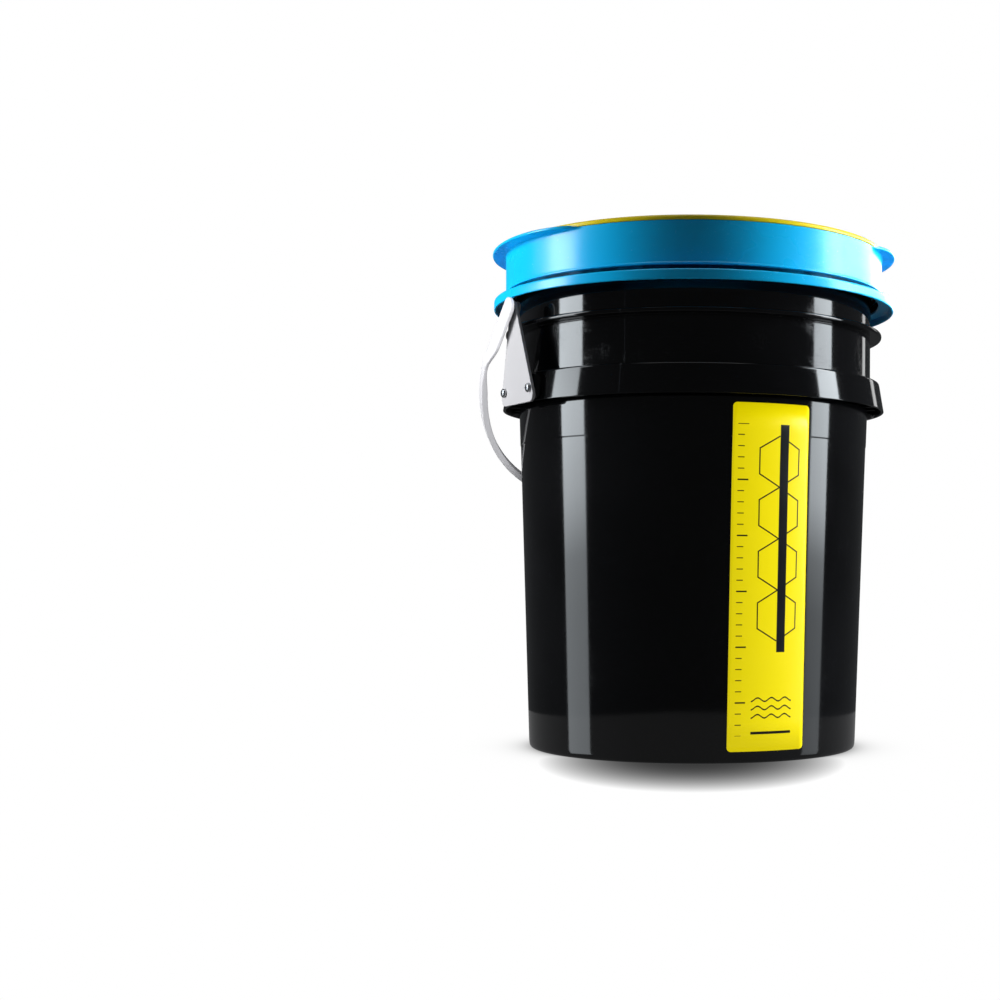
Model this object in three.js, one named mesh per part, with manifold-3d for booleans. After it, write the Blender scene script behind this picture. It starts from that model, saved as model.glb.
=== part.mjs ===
// Pad-washing bucket: a five-gallon pail with a splash guard on its rim and a
// spring-loaded, water-pumping wash plate inside.
// Millimetres. +Z is up, the origin is the middle of the pail's underside and the
// front is -Y. Azimuth is measured from the front, positive towards +X.
import * as THREE from 'three';
import { ConvexGeometry } from 'three/addons/geometries/ConvexGeometry.js';
import { mergeVertices } from 'three/addons/utils/BufferGeometryUtils.js';
import Module from 'manifold-3d';

const wasm = await Module();
wasm.setup();

// ---- driving dimensions -------------------------------------------------------
const GAP = 0.3; // clearance left between touching pieces
const FINE = 48; // facets round the large rings
const MEDIUM = 24; // facets round the pump parts
const SMALL = 10; // facets round the fasteners

const BASE_R = 129; // pail, outside at the floor
const BODY_TOP_R = 137.5; // pail, outside where the collar starts
const NECK_R = 140; // pail, outside between the collar and the rim
const WALL = 2.4;
const FLOOR_Z = 5.2; // inside floor
const COLLAR_Z = [263.8, 286];
const COLLAR_R = [150.8, 147];
const RIB_Z = [321.2, 324.8];
const RIB_R = 148.8;
const RIM_Z = 363.6; // top of the pail's own rim
const RIM_R = 145;
const LOCATOR_R = 98; // ridge on the pail floor that the pump base sits inside

const EAR_AZIMUTH = -58.5; // left ear; the other is opposite
const EAR_D = 151.8; // back of the ear plate from the pail's axis, at its foot
const EAR_LEAN = 3.2; // degrees the plate leans outwards
const EAR_FOOT_Z = 262.6;
const EAR_HALF_W = 27;
const EAR_T = 2.5;
const EAR_SCREW_X = 21.2;
const EAR_SCREW_Z = 272.6;
const EAR_BORE_R = 2.4;
const PIVOT_Z = 334.4; // bail axis
const PIVOT_R = 2.2;
const EAR_TIP_R = 4.6;

const BAIL_D = 161.2; // middle of the strap from the pail's axis at the pivots
const BAIL_T = 2.8; // thickness of strap and end tabs
const BAIL_W = 7.6; // width of the strap
const BAIL_TAB_W = 14.4; // width of the end tabs
const BAIL_TAB_LENGTH = 48; // pivot axis to the step where the strap begins
const BAIL_STRAIGHT = 54; // the loop is straight this far from the pivots
const BAIL_CONTROLS = [62, 146]; // reach and distance of the bend's control points
const BAIL_REACH = 196; // pivot axis to the middle of the loop
const BAIL_DIP = 44.8; // degrees that the resting bail hangs below level

const LABEL_AZIMUTH = 24.8;
const LABEL_W = 61.4;
const LABEL_Z = [8.8, 259];
const LABEL_T = 0.4;
const LABEL_CORNER_R = 3;

const SKIRT_Z = [342.2, 349.6];
const SKIRT_R = 158;
const GUARD_R = 148.8; // splash guard wall, outside
const GUARD_WALL = 2.6;
const GUARD_TOP_Z = 385.4;
const SHELF_Z = [366.8, 368.8]; // shelf of the splash guard that rests on the rim
const SHELF_IN_R = 135.5;
const LIP_AZIMUTH = -74; // middle of the left finger lip; the other is opposite
const LIP_HALF_SPAN = 40; // degrees
const LIP_R = 159.2;
const LIP_Z = [384.2, 386.7];

const BAFFLE_TOP_R = 130.4; // funnel, outside at the shelf
const BAFFLE_FOOT_R = 114.2;
const BAFFLE_FOOT_Z = 322;
const POST_COUNT = 12;

const RING_IN_R = 126.5;
const RING_OUT_R = 149.3;
const RING_Z = [385.7, 389.3];
const RING_SCREW_R = 137;
const RING_SCREW_AZIMUTH = 14;
const RING_SCREW_COUNT = 6;

const PLATE_R = 106; // wash plate
const PLATE_EDGE_Z = 323;
const PLATE_CROWN_Z = 357;
const PLATE_T = 2.6;
const FLUTE_COUNT = 12;
const DISPENSER_R = 24.5;
const RECESS_Z = 353; // floor of the recess that holds the dispenser
const HUB_FOOT_Z = 306;

const TUBE_R = [11, 15]; // plunger tube, inside and outside
const TUBE_Z = [78.4, 345.6];
const PISTON_Z = [62, 78];
const CYLINDER_R = [27.4, 30.6];
const CYLINDER_Z = [20.4, 205];
const FLANGE_R = 44; // foot of the cylinder
const FLANGE_T = 5;
const FLANGE_SCREW_R = 38.5;
const FLANGE_SCREW_COUNT = 4;
const CAP_TOP_Z = 213;
const SPRING_R = 22;
const SPRING_WIRE_R = 1.5;
const SPRING_TURNS = 8;

// ---- materials ----------------------------------------------------------------
const plastic = (color, roughness) =>
  new THREE.MeshStandardMaterial({ color, roughness, metalness: 0 });
const metal = (color, roughness) =>
  new THREE.MeshStandardMaterial({ color, roughness, metalness: 1 });
const BLACK = () => plastic(0x08090c, 0.22);
const BLUE = () => plastic(0x0a97dc, 0.28);
const YELLOW = () => plastic(0xf2d600, 0.35);
const WHITE = () => plastic(0xe9e9ee, 0.42);
const GREY = () => plastic(0x6d7278, 0.5);
const RUBBER = () => plastic(0x16171a, 0.85);
const ZINC = () => metal(0xb9bcc0, 0.32);
const SPRING_STEEL = () => metal(0x8f949a, 0.35);

// ---- geometry helpers ---------------------------------------------------------
const radians = THREE.MathUtils.degToRad;

/** Closed solid for booleans, from a closed three.js geometry. */
function solid(geometry) {
  const bare = geometry.clone();
  bare.deleteAttribute('normal');
  bare.deleteAttribute('uv');
  const merged = mergeVertices(bare, 1e-4);
  const position = merged.attributes.position;
  const index = merged.index.array;
  const kept = [];
  let volume = 0;
  const a = new THREE.Vector3();
  const b = new THREE.Vector3();
  const c = new THREE.Vector3();
  for (let i = 0; i < index.length; i += 3) {
    const [p, q, r] = [index[i], index[i + 1], index[i + 2]];
    if (p === q || q === r || r === p) continue;
    kept.push(p, q, r);
    a.fromBufferAttribute(position, p);
    b.fromBufferAttribute(position, q);
    c.fromBufferAttribute(position, r);
    volume += a.dot(b.cross(c));
  }
  if (volume < 0) kept.reverse();
  return new wasm.Manifold(new wasm.Mesh({
    numProp: 3,
    vertProperties: new Float32Array(position.array),
    triVerts: new Uint32Array(kept),
  }));
}

/** three.js geometry of a solid. */
function geometryOf(body) {
  const { vertProperties, triVerts } = body.getMesh();
  const geometry = new THREE.BufferGeometry();
  geometry.setAttribute('position', new THREE.BufferAttribute(new Float32Array(vertProperties), 3));
  geometry.setIndex(new THREE.BufferAttribute(new Uint32Array(triVerts), 1));
  geometry.computeVertexNormals();
  return geometry;
}

/** Solid of revolution about Z from [radius, height] points. */
function turned(points, segments = MEDIUM) {
  const profile = points.map(([r, z]) => new THREE.Vector2(r, z));
  return solid(new THREE.LatheGeometry(profile, segments).rotateX(Math.PI / 2));
}

/** Ring or tube: a turned profile that closes on itself. */
function ring(points, segments) {
  return turned([...points, points[0]], segments);
}

/** Plain round tube between two heights. */
function tube(inner, outer, low, high, segments) {
  return ring([[outer, low], [outer, high], [inner, high], [inner, low]], segments);
}

/** Upright cylinder between two heights, centred on x, y. */
function rod(radius, low, high, segments = SMALL, x = 0, y = 0) {
  const shape = new THREE.CylinderGeometry(radius, radius, high - low, segments).rotateX(Math.PI / 2);
  return solid(shape.translate(x, y, (low + high) / 2));
}

/** Box from its lowest to its highest corner. */
function block(low, high) {
  const size = high.map((value, i) => value - low[i]);
  const centre = high.map((value, i) => (value + low[i]) / 2);
  return solid(new THREE.BoxGeometry(...size).translate(...centre));
}

/** Flat outline in XY, given a thickness from low to high. */
function plate(shape, low, high, curveSegments = 6) {
  const options = { depth: high - low, bevelEnabled: false, curveSegments };
  return solid(new THREE.ExtrudeGeometry(shape, options).translate(0, 0, low));
}

const about = (body, degrees) => body.rotate([0, 0, degrees]);
const azimuths = (count, first = 0) => Array.from({ length: count }, (_, i) => first + (360 * i) / count);

const object = new THREE.Group();

/** Group turned about the pail's axis, for pieces modelled at the front. */
function turnedTo(azimuth) {
  const group = new THREE.Group();
  group.rotation.z = radians(azimuth);
  object.add(group);
  return group;
}

/** Adds a named piece to a group. */
function piece(name, body, material, parent = object) {
  const mesh = new THREE.Mesh(geometryOf(body), material);
  mesh.name = name;
  parent.add(mesh);
  return mesh;
}

// ---- pail ---------------------------------------------------------------------
const bodyRadius = (z) => BASE_R + ((BODY_TOP_R - BASE_R) * z) / COLLAR_Z[0];

function pail() {
  const padR = 22;
  const footR = 114;
  const recess = 2.4;
  const web = COLLAR_Z[1] - 3;
  const skin = 2.2;
  const shell = turned([
    [0, 0], [padR, 0], [padR + 2, recess], [footR - 2, recess], [footR, 0],
    [BASE_R - 4, 0], [BASE_R - 1.2, 1.2], [bodyRadius(4), 4],
    [BODY_TOP_R, COLLAR_Z[0]], [BODY_TOP_R, web],
    [COLLAR_R[1] - skin, web], [COLLAR_R[0] - skin, COLLAR_Z[0]], [COLLAR_R[0], COLLAR_Z[0]],
    [COLLAR_R[1], COLLAR_Z[1] - 1], [COLLAR_R[1] - 1, COLLAR_Z[1]], [NECK_R, COLLAR_Z[1]],
    [NECK_R, RIB_Z[0]], [RIB_R, RIB_Z[0]], [RIB_R, RIB_Z[1]], [NECK_R, RIB_Z[1]],
    [NECK_R, RIM_Z - 12], [RIM_R, RIM_Z - 10], [RIM_R, RIM_Z - 1.5], [RIM_R - 1.5, RIM_Z],
    [NECK_R - WALL + 1, RIM_Z], [NECK_R - WALL, RIM_Z - 1],
    [NECK_R - WALL, COLLAR_Z[1]], [BODY_TOP_R - WALL, COLLAR_Z[0]],
    [bodyRadius(14) - WALL, 14], [BASE_R - 8, FLOOR_Z],
    [LOCATOR_R + 2, FLOOR_Z], [LOCATOR_R + 1.5, FLOOR_Z + 5], [LOCATOR_R, FLOOR_Z + 5],
    [LOCATOR_R - 0.5, FLOOR_Z], [0, FLOOR_Z],
  ], FINE);
  const holes = [-EAR_SCREW_X, EAR_SCREW_X].map((x) => sideways(2.3, EAR_D - 9, EAR_D + 1, x, EAR_SCREW_Z));
  return azimuths(2, EAR_AZIMUTH).reduce((body, azimuth) => holes.reduce(
    (rest, hole) => rest.subtract(about(hole, azimuth)), body.add(about(earBoss(), azimuth))), shell);
}

/** Boss on the collar that an ear plate is screwed to, open underneath. */
function earBoss() {
  const half = EAR_HALF_W - 3;
  const face = -(EAR_D - 0.5);
  const low = COLLAR_Z[0] + 1.6;
  const high = COLLAR_Z[1] - 2;
  const wall = 5;
  const outside = block([-half, face, low], [half, -(NECK_R - 1), high]);
  const hollow = block([-half + 11, face + wall, low - 1], [half - 11, -(NECK_R + 1.5), high - wall]);
  return outside.subtract(hollow);
}

/** Round bar pointing out of the pail's front, between two distances from its axis. */
function sideways(radius, near, far, x, z, segments = SMALL) {
  const shape = new THREE.CylinderGeometry(radius, radius, far - near, segments);
  return solid(shape.translate(x, -(near + far) / 2, z));
}

/** Rectangle with round corners, centred on x = 0. */
function roundedRectangle(width, low, high, r) {
  const w = width / 2;
  const quarter = Math.PI / 2;
  const outline = new THREE.Shape();
  outline.moveTo(-w + r, low);
  outline.absarc(w - r, low + r, r, -quarter, 0);
  outline.absarc(w - r, high - r, r, 0, quarter);
  outline.absarc(-w + r, high - r, r, quarter, 2 * quarter);
  outline.absarc(-w + r, low + r, r, 2 * quarter, 3 * quarter);
  return outline;
}

/** Sheet laid on the pail's body; its facets stay in line with the pail's. */
function label() {
  const [low, high] = LABEL_Z;
  const [under, over] = [low - 4, high + 4];
  const back = (z) => bodyRadius(z) + GAP;
  const skin = ring([
    [back(under), under], [back(under) + LABEL_T, under], [back(over) + LABEL_T, over], [back(over), over],
  ], FINE);
  const outline = roundedRectangle(LABEL_W, low, high, LABEL_CORNER_R);
  const cutter = plate(outline, BASE_R - 30, BASE_R + 30).rotate([90, 0, 0]);
  return about(skin, -LABEL_AZIMUTH).intersect(cutter);
}

// ---- ears and bail ------------------------------------------------------------
/** Triangular ear plate, lying flat with its foot on y = 0. */
function earPlate() {
  const rise = PIVOT_Z - EAR_FOOT_Z;
  const corner = 6;
  const side = Math.atan2(EAR_HALF_W - EAR_TIP_R, rise - 14);
  const outline = new THREE.Shape();
  outline.moveTo(-EAR_HALF_W + corner, 0);
  outline.lineTo(EAR_HALF_W - corner, 0);
  outline.absarc(EAR_HALF_W - corner, corner, corner, -Math.PI / 2, side);
  outline.absarc(0, rise, EAR_TIP_R, side, Math.PI - side);
  outline.absarc(-EAR_HALF_W + corner, corner, corner, Math.PI - side, Math.PI * 1.5);
  const screwRise = EAR_SCREW_Z - EAR_FOOT_Z;
  const drill = (x, y, r) => rod(r, -1, EAR_T + 1, SMALL, x, y);
  return plate(outline, 0, EAR_T)
    .subtract(drill(-EAR_SCREW_X, screwRise, EAR_BORE_R))
    .subtract(drill(EAR_SCREW_X, screwRise, EAR_BORE_R))
    .subtract(drill(0, rise, PIVOT_R + GAP));
}

/** How far out the ear's back face is at a height, because the plate leans. */
const earBack = (z) => EAR_D + Math.tan(radians(EAR_LEAN)) * (z - EAR_FOOT_Z);

/** Pan-head screw of an ear, its head on z = 0. */
function earScrew() {
  const head = turned([[0, 0], [3.5, 0], [3.4, 1], [2.4, 2], [0, 2.3]], SMALL);
  const socket = rod(1.3, 1.1, 3, 6);
  return head.subtract(socket).add(rod(1.9, -9, 0.5));
}

/** Pin that the bail turns on; its head is behind the ear plate, below z = 0. */
const pivotPin = (length) => rod(PIVOT_R, -0.5, length).add(rod(4.4, -1.6, 0));

/** Middle line of the loop, from pivot to pivot, as [reach, distance] from the pivot axis. */
function bailLine() {
  const [reachControl, distanceControl] = BAIL_CONTROLS;
  const bend = new THREE.CubicBezierCurve(
    new THREE.Vector2(BAIL_STRAIGHT, BAIL_D),
    new THREE.Vector2(reachControl, BAIL_D),
    new THREE.Vector2(BAIL_REACH, distanceControl),
    new THREE.Vector2(BAIL_REACH, 0),
  );
  const half = [new THREE.Vector2(0, BAIL_D), ...bend.getPoints(14)];
  const mirrored = half.slice(0, -1).map((p) => new THREE.Vector2(p.x, -p.y));
  return [...half, ...mirrored.reverse()];
}

/** Flat strip that follows a line, as a closed outline of the given thickness. */
function stripOutline(line, thickness) {
  const side = (sign) => line.map((point, i) => {
    const before = line[Math.max(i - 1, 0)];
    const after = line[Math.min(i + 1, line.length - 1)];
    const along = after.clone().sub(before).normalize();
    return new THREE.Vector2(-along.y, along.x).multiplyScalar((sign * thickness) / 2).add(point);
  });
  return new THREE.Shape([...side(1), ...side(-1).reverse()]);
}

/** Carrying bail: a thin strap in one loop with a wide tab at each pivot. */
function bail() {
  const line = bailLine();
  const tabHalf = BAIL_TAB_W / 2;
  let loop = plate(stripOutline(line, BAIL_T), tabHalf - BAIL_W, tabHalf);
  for (const side of [-1, 1]) {
    const ends = [new THREE.Vector2(0, side * BAIL_D), new THREE.Vector2(BAIL_TAB_LENGTH, side * BAIL_D)];
    const eye = new THREE.CylinderGeometry(tabHalf, tabHalf, BAIL_T, MEDIUM).translate(0, side * BAIL_D, 0);
    const boreR = PIVOT_R + GAP;
    const bore = new THREE.CylinderGeometry(boreR, boreR, BAIL_T, SMALL)
      .translate(0, side * (BAIL_D - 0.8), 0);
    const tab = plate(stripOutline(ends, BAIL_T), -tabHalf, tabHalf);
    loop = loop.add(tab).add(solid(eye)).subtract(solid(bore));
  }
  return loop;
}

// ---- splash guard -------------------------------------------------------------
function splashGuard() {
  const inner = GUARD_R - GUARD_WALL;
  const [hem, deck] = SKIRT_Z;
  const [shelfLow, shelfHigh] = SHELF_Z;
  const skin = 2.2;
  const wall = ring([
    [SKIRT_R - 1.6, hem], [SKIRT_R - 0.5, hem], [SKIRT_R, hem + 0.6], [SKIRT_R, deck - 1.6],
    [SKIRT_R - 1.6, deck], [GUARD_R + 0.5, deck], [GUARD_R + 0.5, deck + 1.8],
    [GUARD_R + 1.5, deck + 2.6], [GUARD_R + 1.5, deck + 3.8], [GUARD_R, deck + 4.8],
    [GUARD_R, GUARD_TOP_Z], [inner, GUARD_TOP_Z], [inner, shelfHigh], [SHELF_IN_R, shelfHigh],
    [SHELF_IN_R, shelfLow], [inner, shelfLow], [inner, deck - skin], [SKIRT_R - skin, deck - skin],
    [SKIRT_R - skin, hem + 0.6],
  ], FINE);
  return wall.add(fingerLip(LIP_AZIMUTH)).add(fingerLip(LIP_AZIMUTH + 180));
}

/** Lip round part of the guard's top edge, widest in its middle, to lift it by. */
function fingerLip(azimuth) {
  const steps = 16;
  const root = GUARD_R - 0.5;
  const inside = GUARD_R - 1.2;
  const outer = [];
  const inner = [];
  for (let i = 0; i <= steps; i += 1) {
    const part = (2 * i) / steps - 1;
    const angle = radians(part * LIP_HALF_SPAN - 90);
    const radius = root + (LIP_R - root) * (1 - part ** 6);
    outer.push(new THREE.Vector2(radius * Math.cos(angle), radius * Math.sin(angle)));
    inner.push(new THREE.Vector2(inside * Math.cos(angle), inside * Math.sin(angle)));
  }
  const lip = plate(new THREE.Shape([...outer, ...inner.reverse()]), ...LIP_Z);
  const ringSeat = rod(RING_OUT_R + GAP, GUARD_TOP_Z, LIP_Z[1] + 1, FINE);
  return about(lip.subtract(ringSeat), azimuth);
}

/** Funnel inside the guard: it hangs from the shelf and its posts carry the ring. */
function innerBaffle() {
  const skin = 2.2;
  const flangeLow = SHELF_Z[1] + GAP;
  const flangeHigh = flangeLow + 2.2;
  const flangeR = GUARD_R - GUARD_WALL - GAP;
  const postTop = RING_Z[0] - GAP;
  let body = ring([
    [BAFFLE_FOOT_R, BAFFLE_FOOT_Z], [BAFFLE_TOP_R, SHELF_Z[0]], [BAFFLE_TOP_R, flangeLow],
    [flangeR, flangeLow], [flangeR, flangeHigh], [BAFFLE_TOP_R - skin, flangeHigh],
    [BAFFLE_TOP_R - skin, SHELF_Z[0]], [BAFFLE_FOOT_R - skin, BAFFLE_FOOT_Z],
  ], FINE);
  azimuths(POST_COUNT, RING_SCREW_AZIMUTH).forEach((azimuth, i) => {
    const carriesScrew = i % 2 === 0;
    const half = carriesScrew ? 3.2 : 2;
    const back = carriesScrew ? RING_SCREW_R : flangeR - 1;
    let post = block([-half, -back, flangeLow + 0.5], [half, -(BAFFLE_TOP_R - 2), postTop]);
    if (carriesScrew) {
      post = post.add(rod(4.8, flangeLow + 0.5, postTop, SMALL, 0, -RING_SCREW_R));
      post = post.subtract(rod(2.2, flangeHigh, postTop + 1, SMALL, 0, -RING_SCREW_R));
    }
    body = body.add(about(post, azimuth));
  });
  return body;
}

function splashRing() {
  const [low, high] = RING_Z;
  const field = high - 1;
  const body = ring([
    [RING_IN_R, low], [RING_OUT_R, low], [RING_OUT_R, low + 1.4], [RING_OUT_R - 1.6, high],
    [RING_OUT_R - 3.4, high], [RING_OUT_R - 4.4, field], [RING_IN_R + 4.4, field],
    [RING_IN_R + 3.4, high], [RING_IN_R + 1.4, high], [RING_IN_R, low + 1.6],
  ], FINE);
  return azimuths(RING_SCREW_COUNT, RING_SCREW_AZIMUTH).reduce((rest, azimuth) => rest.subtract(
    about(rod(2.2, low - 1, high + 1, SMALL, 0, -RING_SCREW_R), azimuth)), body);
}

/** Socket pan-head screw, head underside at z = 0. */
function panScrew(headR, headT, shankR, length) {
  const head = turned([
    [0, 0], [headR, 0], [headR, headT * 0.35], [headR * 0.72, headT], [0, headT],
  ], SMALL);
  return head.add(rod(shankR, -length, 0.2)).subtract(rod(headR * 0.36, headT * 0.4, headT + 1, 6));
}

const rimGasket = () => tube(RIM_R - 6.2, RIM_R - 0.8, RIM_Z + GAP, SHELF_Z[0] - GAP, FINE);

// ---- wash plate ---------------------------------------------------------------
const CROWN_R = 27.5;
const domeHeight = (r) => PLATE_EDGE_Z
  + (PLATE_CROWN_Z - PLATE_EDGE_Z) * (1 - ((r - CROWN_R) / (PLATE_R - CROWN_R)) ** 2.2);

function washPlate() {
  const stations = [0.2, 0.4, 0.6, 0.77, 0.9].map((t) => CROWN_R + t * (PLATE_R - CROWN_R));
  const over = stations.map((r) => [r, domeHeight(r)]);
  const under = stations.map((r) => [r - 0.6, domeHeight(r) - PLATE_T]).reverse();
  const boreR = 9;
  const hubR = 22;
  const socketR = TUBE_R[1] + GAP;
  const body = ring([
    [boreR, RECESS_Z], [DISPENSER_R + GAP, RECESS_Z], [DISPENSER_R + GAP, PLATE_CROWN_Z - 0.6],
    [CROWN_R, PLATE_CROWN_Z], ...over, [PLATE_R, PLATE_EDGE_Z - 0.5], [PLATE_R + 0.6, PLATE_EDGE_Z - 3],
    [PLATE_R + 0.6, PLATE_EDGE_Z - 8], [PLATE_R - 1.8, PLATE_EDGE_Z - 8], [PLATE_R - 2.4, PLATE_EDGE_Z - 3],
    ...under, [CROWN_R + 1, PLATE_CROWN_Z - PLATE_T - 2], [hubR, PLATE_CROWN_Z - PLATE_T - 4],
    [hubR, HUB_FOOT_Z], [socketR, HUB_FOOT_Z], [socketR, TUBE_Z[1] + GAP], [boreR, TUBE_Z[1] + GAP],
  ], FINE);
  return azimuths(FLUTE_COUNT, 15).reduce((rest, azimuth) => rest.add(about(flute(), azimuth)), body);
}

/** One raised rib of the dome: it follows the dome's curve and widens outwards. */
function flute() {
  const stations = [31, 60, 82, 98];
  const foot = stations[stations.length - 1];
  const section = (r) => {
    const half = 1.4 + (r - stations[0]) * 0.06;
    const top = domeHeight(r) + (r < foot ? 1.9 : 0.2);
    const root = domeHeight(r) - 1.2;
    return [[-half * 1.8, root], [-half * 0.8, top], [half * 0.8, top], [half * 1.8, root]]
      .map(([x, z]) => new THREE.Vector3(x, -r, z));
  };
  const parts = stations.slice(1).map((r, i) => solid(
    new ConvexGeometry([...section(stations[i]), ...section(r)])));
  return parts.reduce((body, part) => body.add(part));
}

/** Perforated dispenser cap in the middle of the wash plate. */
function dispenserCap() {
  const low = RECESS_Z + 1.9;
  const top = 359.4;
  const body = turned([
    [0, top - 2.8], [DISPENSER_R - 3, top - 2.8], [DISPENSER_R - 3, low], [DISPENSER_R - 0.4, low],
    [DISPENSER_R - 0.4, PLATE_CROWN_Z + 0.3], [DISPENSER_R, PLATE_CROWN_Z + 0.5], [DISPENSER_R, top - 0.6],
    [DISPENSER_R - 0.7, top], [DISPENSER_R - 2.2, top], [DISPENSER_R - 2.6, top - 0.5], [0, top - 0.5],
  ], MEDIUM);
  const rows = [[0, 1, 0], [8, 6, 30], [12.6, 12, 0], [18.4, 24, 7.5]];
  const holes = rows.flatMap(([radius, count, first]) => azimuths(count, first).map((azimuth) => about(
    rod(0.95, top - 4, top + 1, 5, 0, -radius), azimuth)));
  return holes.reduce((rest, hole) => rest.subtract(hole), body);
}

const dispenserSeal = () => tube(
  DISPENSER_R - 5, DISPENSER_R - 0.6, RECESS_Z + GAP, RECESS_Z + 1.6, MEDIUM);

// ---- pump ---------------------------------------------------------------------
function plungerTube() {
  const slot = (side) => block(
    [Math.min(side * 13, side * 17), -1.8, 120], [Math.max(side * 13, side * 17), 1.8, 296]);
  return tube(TUBE_R[0], TUBE_R[1], TUBE_Z[0], TUBE_Z[1], MEDIUM).subtract(slot(1)).subtract(slot(-1));
}

/** Spider that a valve stem slides in: a small hub on three arms across a port. */
function spider(portR, low, high) {
  const arm = block([-1.1, -portR - 0.5, low], [1.1, -3.4, high]);
  const hub = tube(2.9, 4.4, low, high, SMALL);
  return azimuths(3, 0).reduce((body, azimuth) => body.add(about(arm, azimuth)), hub);
}

function piston() {
  const [low, high] = PISTON_Z;
  const portR = 8;
  return ring([
    [26.8, low], [26.8, low + 4], [23.6, low + 4], [23.6, low + 9.4], [26.8, low + 9.4],
    [26.8, high], [portR, high], [portR, low],
  ], MEDIUM).add(spider(portR, low + 4, low + 8));
}

const pistonSeal = () => ring([
  [24, PISTON_Z[0] + 4.4], [26.9, PISTON_Z[0] + 4.4], [27.1, PISTON_Z[0] + 6.7],
  [26.9, PISTON_Z[0] + 9], [24, PISTON_Z[0] + 9],
], MEDIUM);

/** Check valve: a disc on a stem, with a stop head under the spider. */
function checkValve(seatZ, discR, stopZ) {
  return turned([
    [0, stopZ - 1.6], [3.6, stopZ - 1.6], [3.6, stopZ], [2.5, stopZ],
    [2.5, seatZ + GAP], [discR, seatZ + GAP], [discR, seatZ + 1.9], [0, seatZ + 2.3],
  ], SMALL * 2);
}

function pumpCylinder() {
  const [low, high] = CYLINDER_Z;
  const [bore, outside] = CYLINDER_R;
  const floor = low + FLANGE_T;
  const portR = 9;
  let body = ring([
    [portR, low], [FLANGE_R, low], [FLANGE_R, floor], [outside + 3, floor], [outside, low + 8],
    [outside, high], [bore, high], [bore, floor + 0.5], [portR, floor + 0.5],
  ], MEDIUM).add(spider(portR, low, low + 4));
  azimuths(FLANGE_SCREW_COUNT, 45).forEach((azimuth) => {
    body = body.subtract(about(rod(2.4, low - 1, low + 7, SMALL, 0, -FLANGE_SCREW_R), azimuth));
  });
  return body;
}

/** Guide cap: it closes the cylinder and its keys stop the plunger turning. */
function cylinderCap() {
  const high = CAP_TOP_Z;
  const sleeve = CYLINDER_R[1] + GAP;
  const bore = TUBE_R[1] + GAP;
  const key = (side) => block(
    [Math.min(side * 13.4, side * 15.6), -1.4, high - 7], [Math.max(side * 13.4, side * 15.6), 1.4, high]);
  const body = ring([
    [sleeve, high - 24], [sleeve + 3, high - 24], [sleeve + 3, high - 1.5], [sleeve + 1.5, high],
    [bore, high], [bore, high - 7], [sleeve, high - 7],
  ], MEDIUM);
  return body.add(key(1)).add(key(-1));
}

const capSeal = () => tube(TUBE_R[1] + GAP, TUBE_R[1] + 3.6, CAP_TOP_Z + GAP, CAP_TOP_Z + 2.6, MEDIUM);
const stopRing = () => tube(TUBE_R[1] + GAP, TUBE_R[1] + 6, CAP_TOP_Z - 15.5, CAP_TOP_Z - 7.5, MEDIUM);
const springSeat = () => tube(TUBE_R[1] + GAP, 26, HUB_FOOT_Z - 2.6, HUB_FOOT_Z - GAP, MEDIUM);

function returnSpring() {
  const low = CAP_TOP_Z + GAP + SPRING_WIRE_R;
  const high = HUB_FOOT_Z - 2.6 - GAP - SPRING_WIRE_R;
  class Coil extends THREE.Curve {
    getPoint(t, target = new THREE.Vector3()) {
      const turn = t * SPRING_TURNS * Math.PI * 2;
      return target.set(SPRING_R * Math.cos(turn), SPRING_R * Math.sin(turn), low + t * (high - low));
    }
  }
  const section = new THREE.Shape().absarc(0, 0, SPRING_WIRE_R, 0, Math.PI * 2);
  return solid(new THREE.ExtrudeGeometry(section, {
    steps: SPRING_TURNS * 9,
    extrudePath: new Coil(),
    curveSegments: 3,
    bevelEnabled: false,
  }));
}

/** Foot of the pump: a hub on six spokes in a ring, located by the ridge on the floor. */
function pumpBase() {
  const low = FLOOR_Z + GAP;
  const top = CYLINDER_Z[0] - GAP;
  let body = tube(LOCATOR_R - 9, LOCATOR_R - 1, low, low + 8, MEDIUM)
    .add(tube(24, 46, low, top, MEDIUM));
  azimuths(6).forEach((azimuth) => {
    body = body.add(about(block([-4, -(LOCATOR_R - 5), low], [4, -44, low + 6.5]), azimuth));
    body = body.subtract(about(block([-7, -50, low - 1], [7, -20, low + 3.6]), azimuth + 30));
  });
  azimuths(FLANGE_SCREW_COUNT, 45).forEach((azimuth) => {
    body = body.subtract(about(rod(2.4, low + 2, top + 1, SMALL, 0, -FLANGE_SCREW_R), azimuth));
  });
  return body;
}

/** Perforated strainer in the base, under the inlet valve. */
function inletStrainer() {
  const outline = new THREE.Shape().absarc(0, 0, 23.6, 0, Math.PI * 2);
  [[0, 1], [7.5, 6], [14.5, 12]].forEach(([radius, count]) => azimuths(count).forEach((azimuth) => {
    const angle = radians(azimuth);
    const hole = new THREE.Path();
    hole.absarc(radius * Math.cos(angle), radius * Math.sin(angle), 2, 0, Math.PI * 2);
    outline.holes.push(hole);
  }));
  return plate(outline, FLOOR_Z + 5, FLOOR_Z + 6.6, 3);
}

// ---- assembly -----------------------------------------------------------------
piece('bucket_shell', pail(), BLACK());
piece('label', label(), YELLOW(), turnedTo(LABEL_AZIMUTH));

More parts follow.
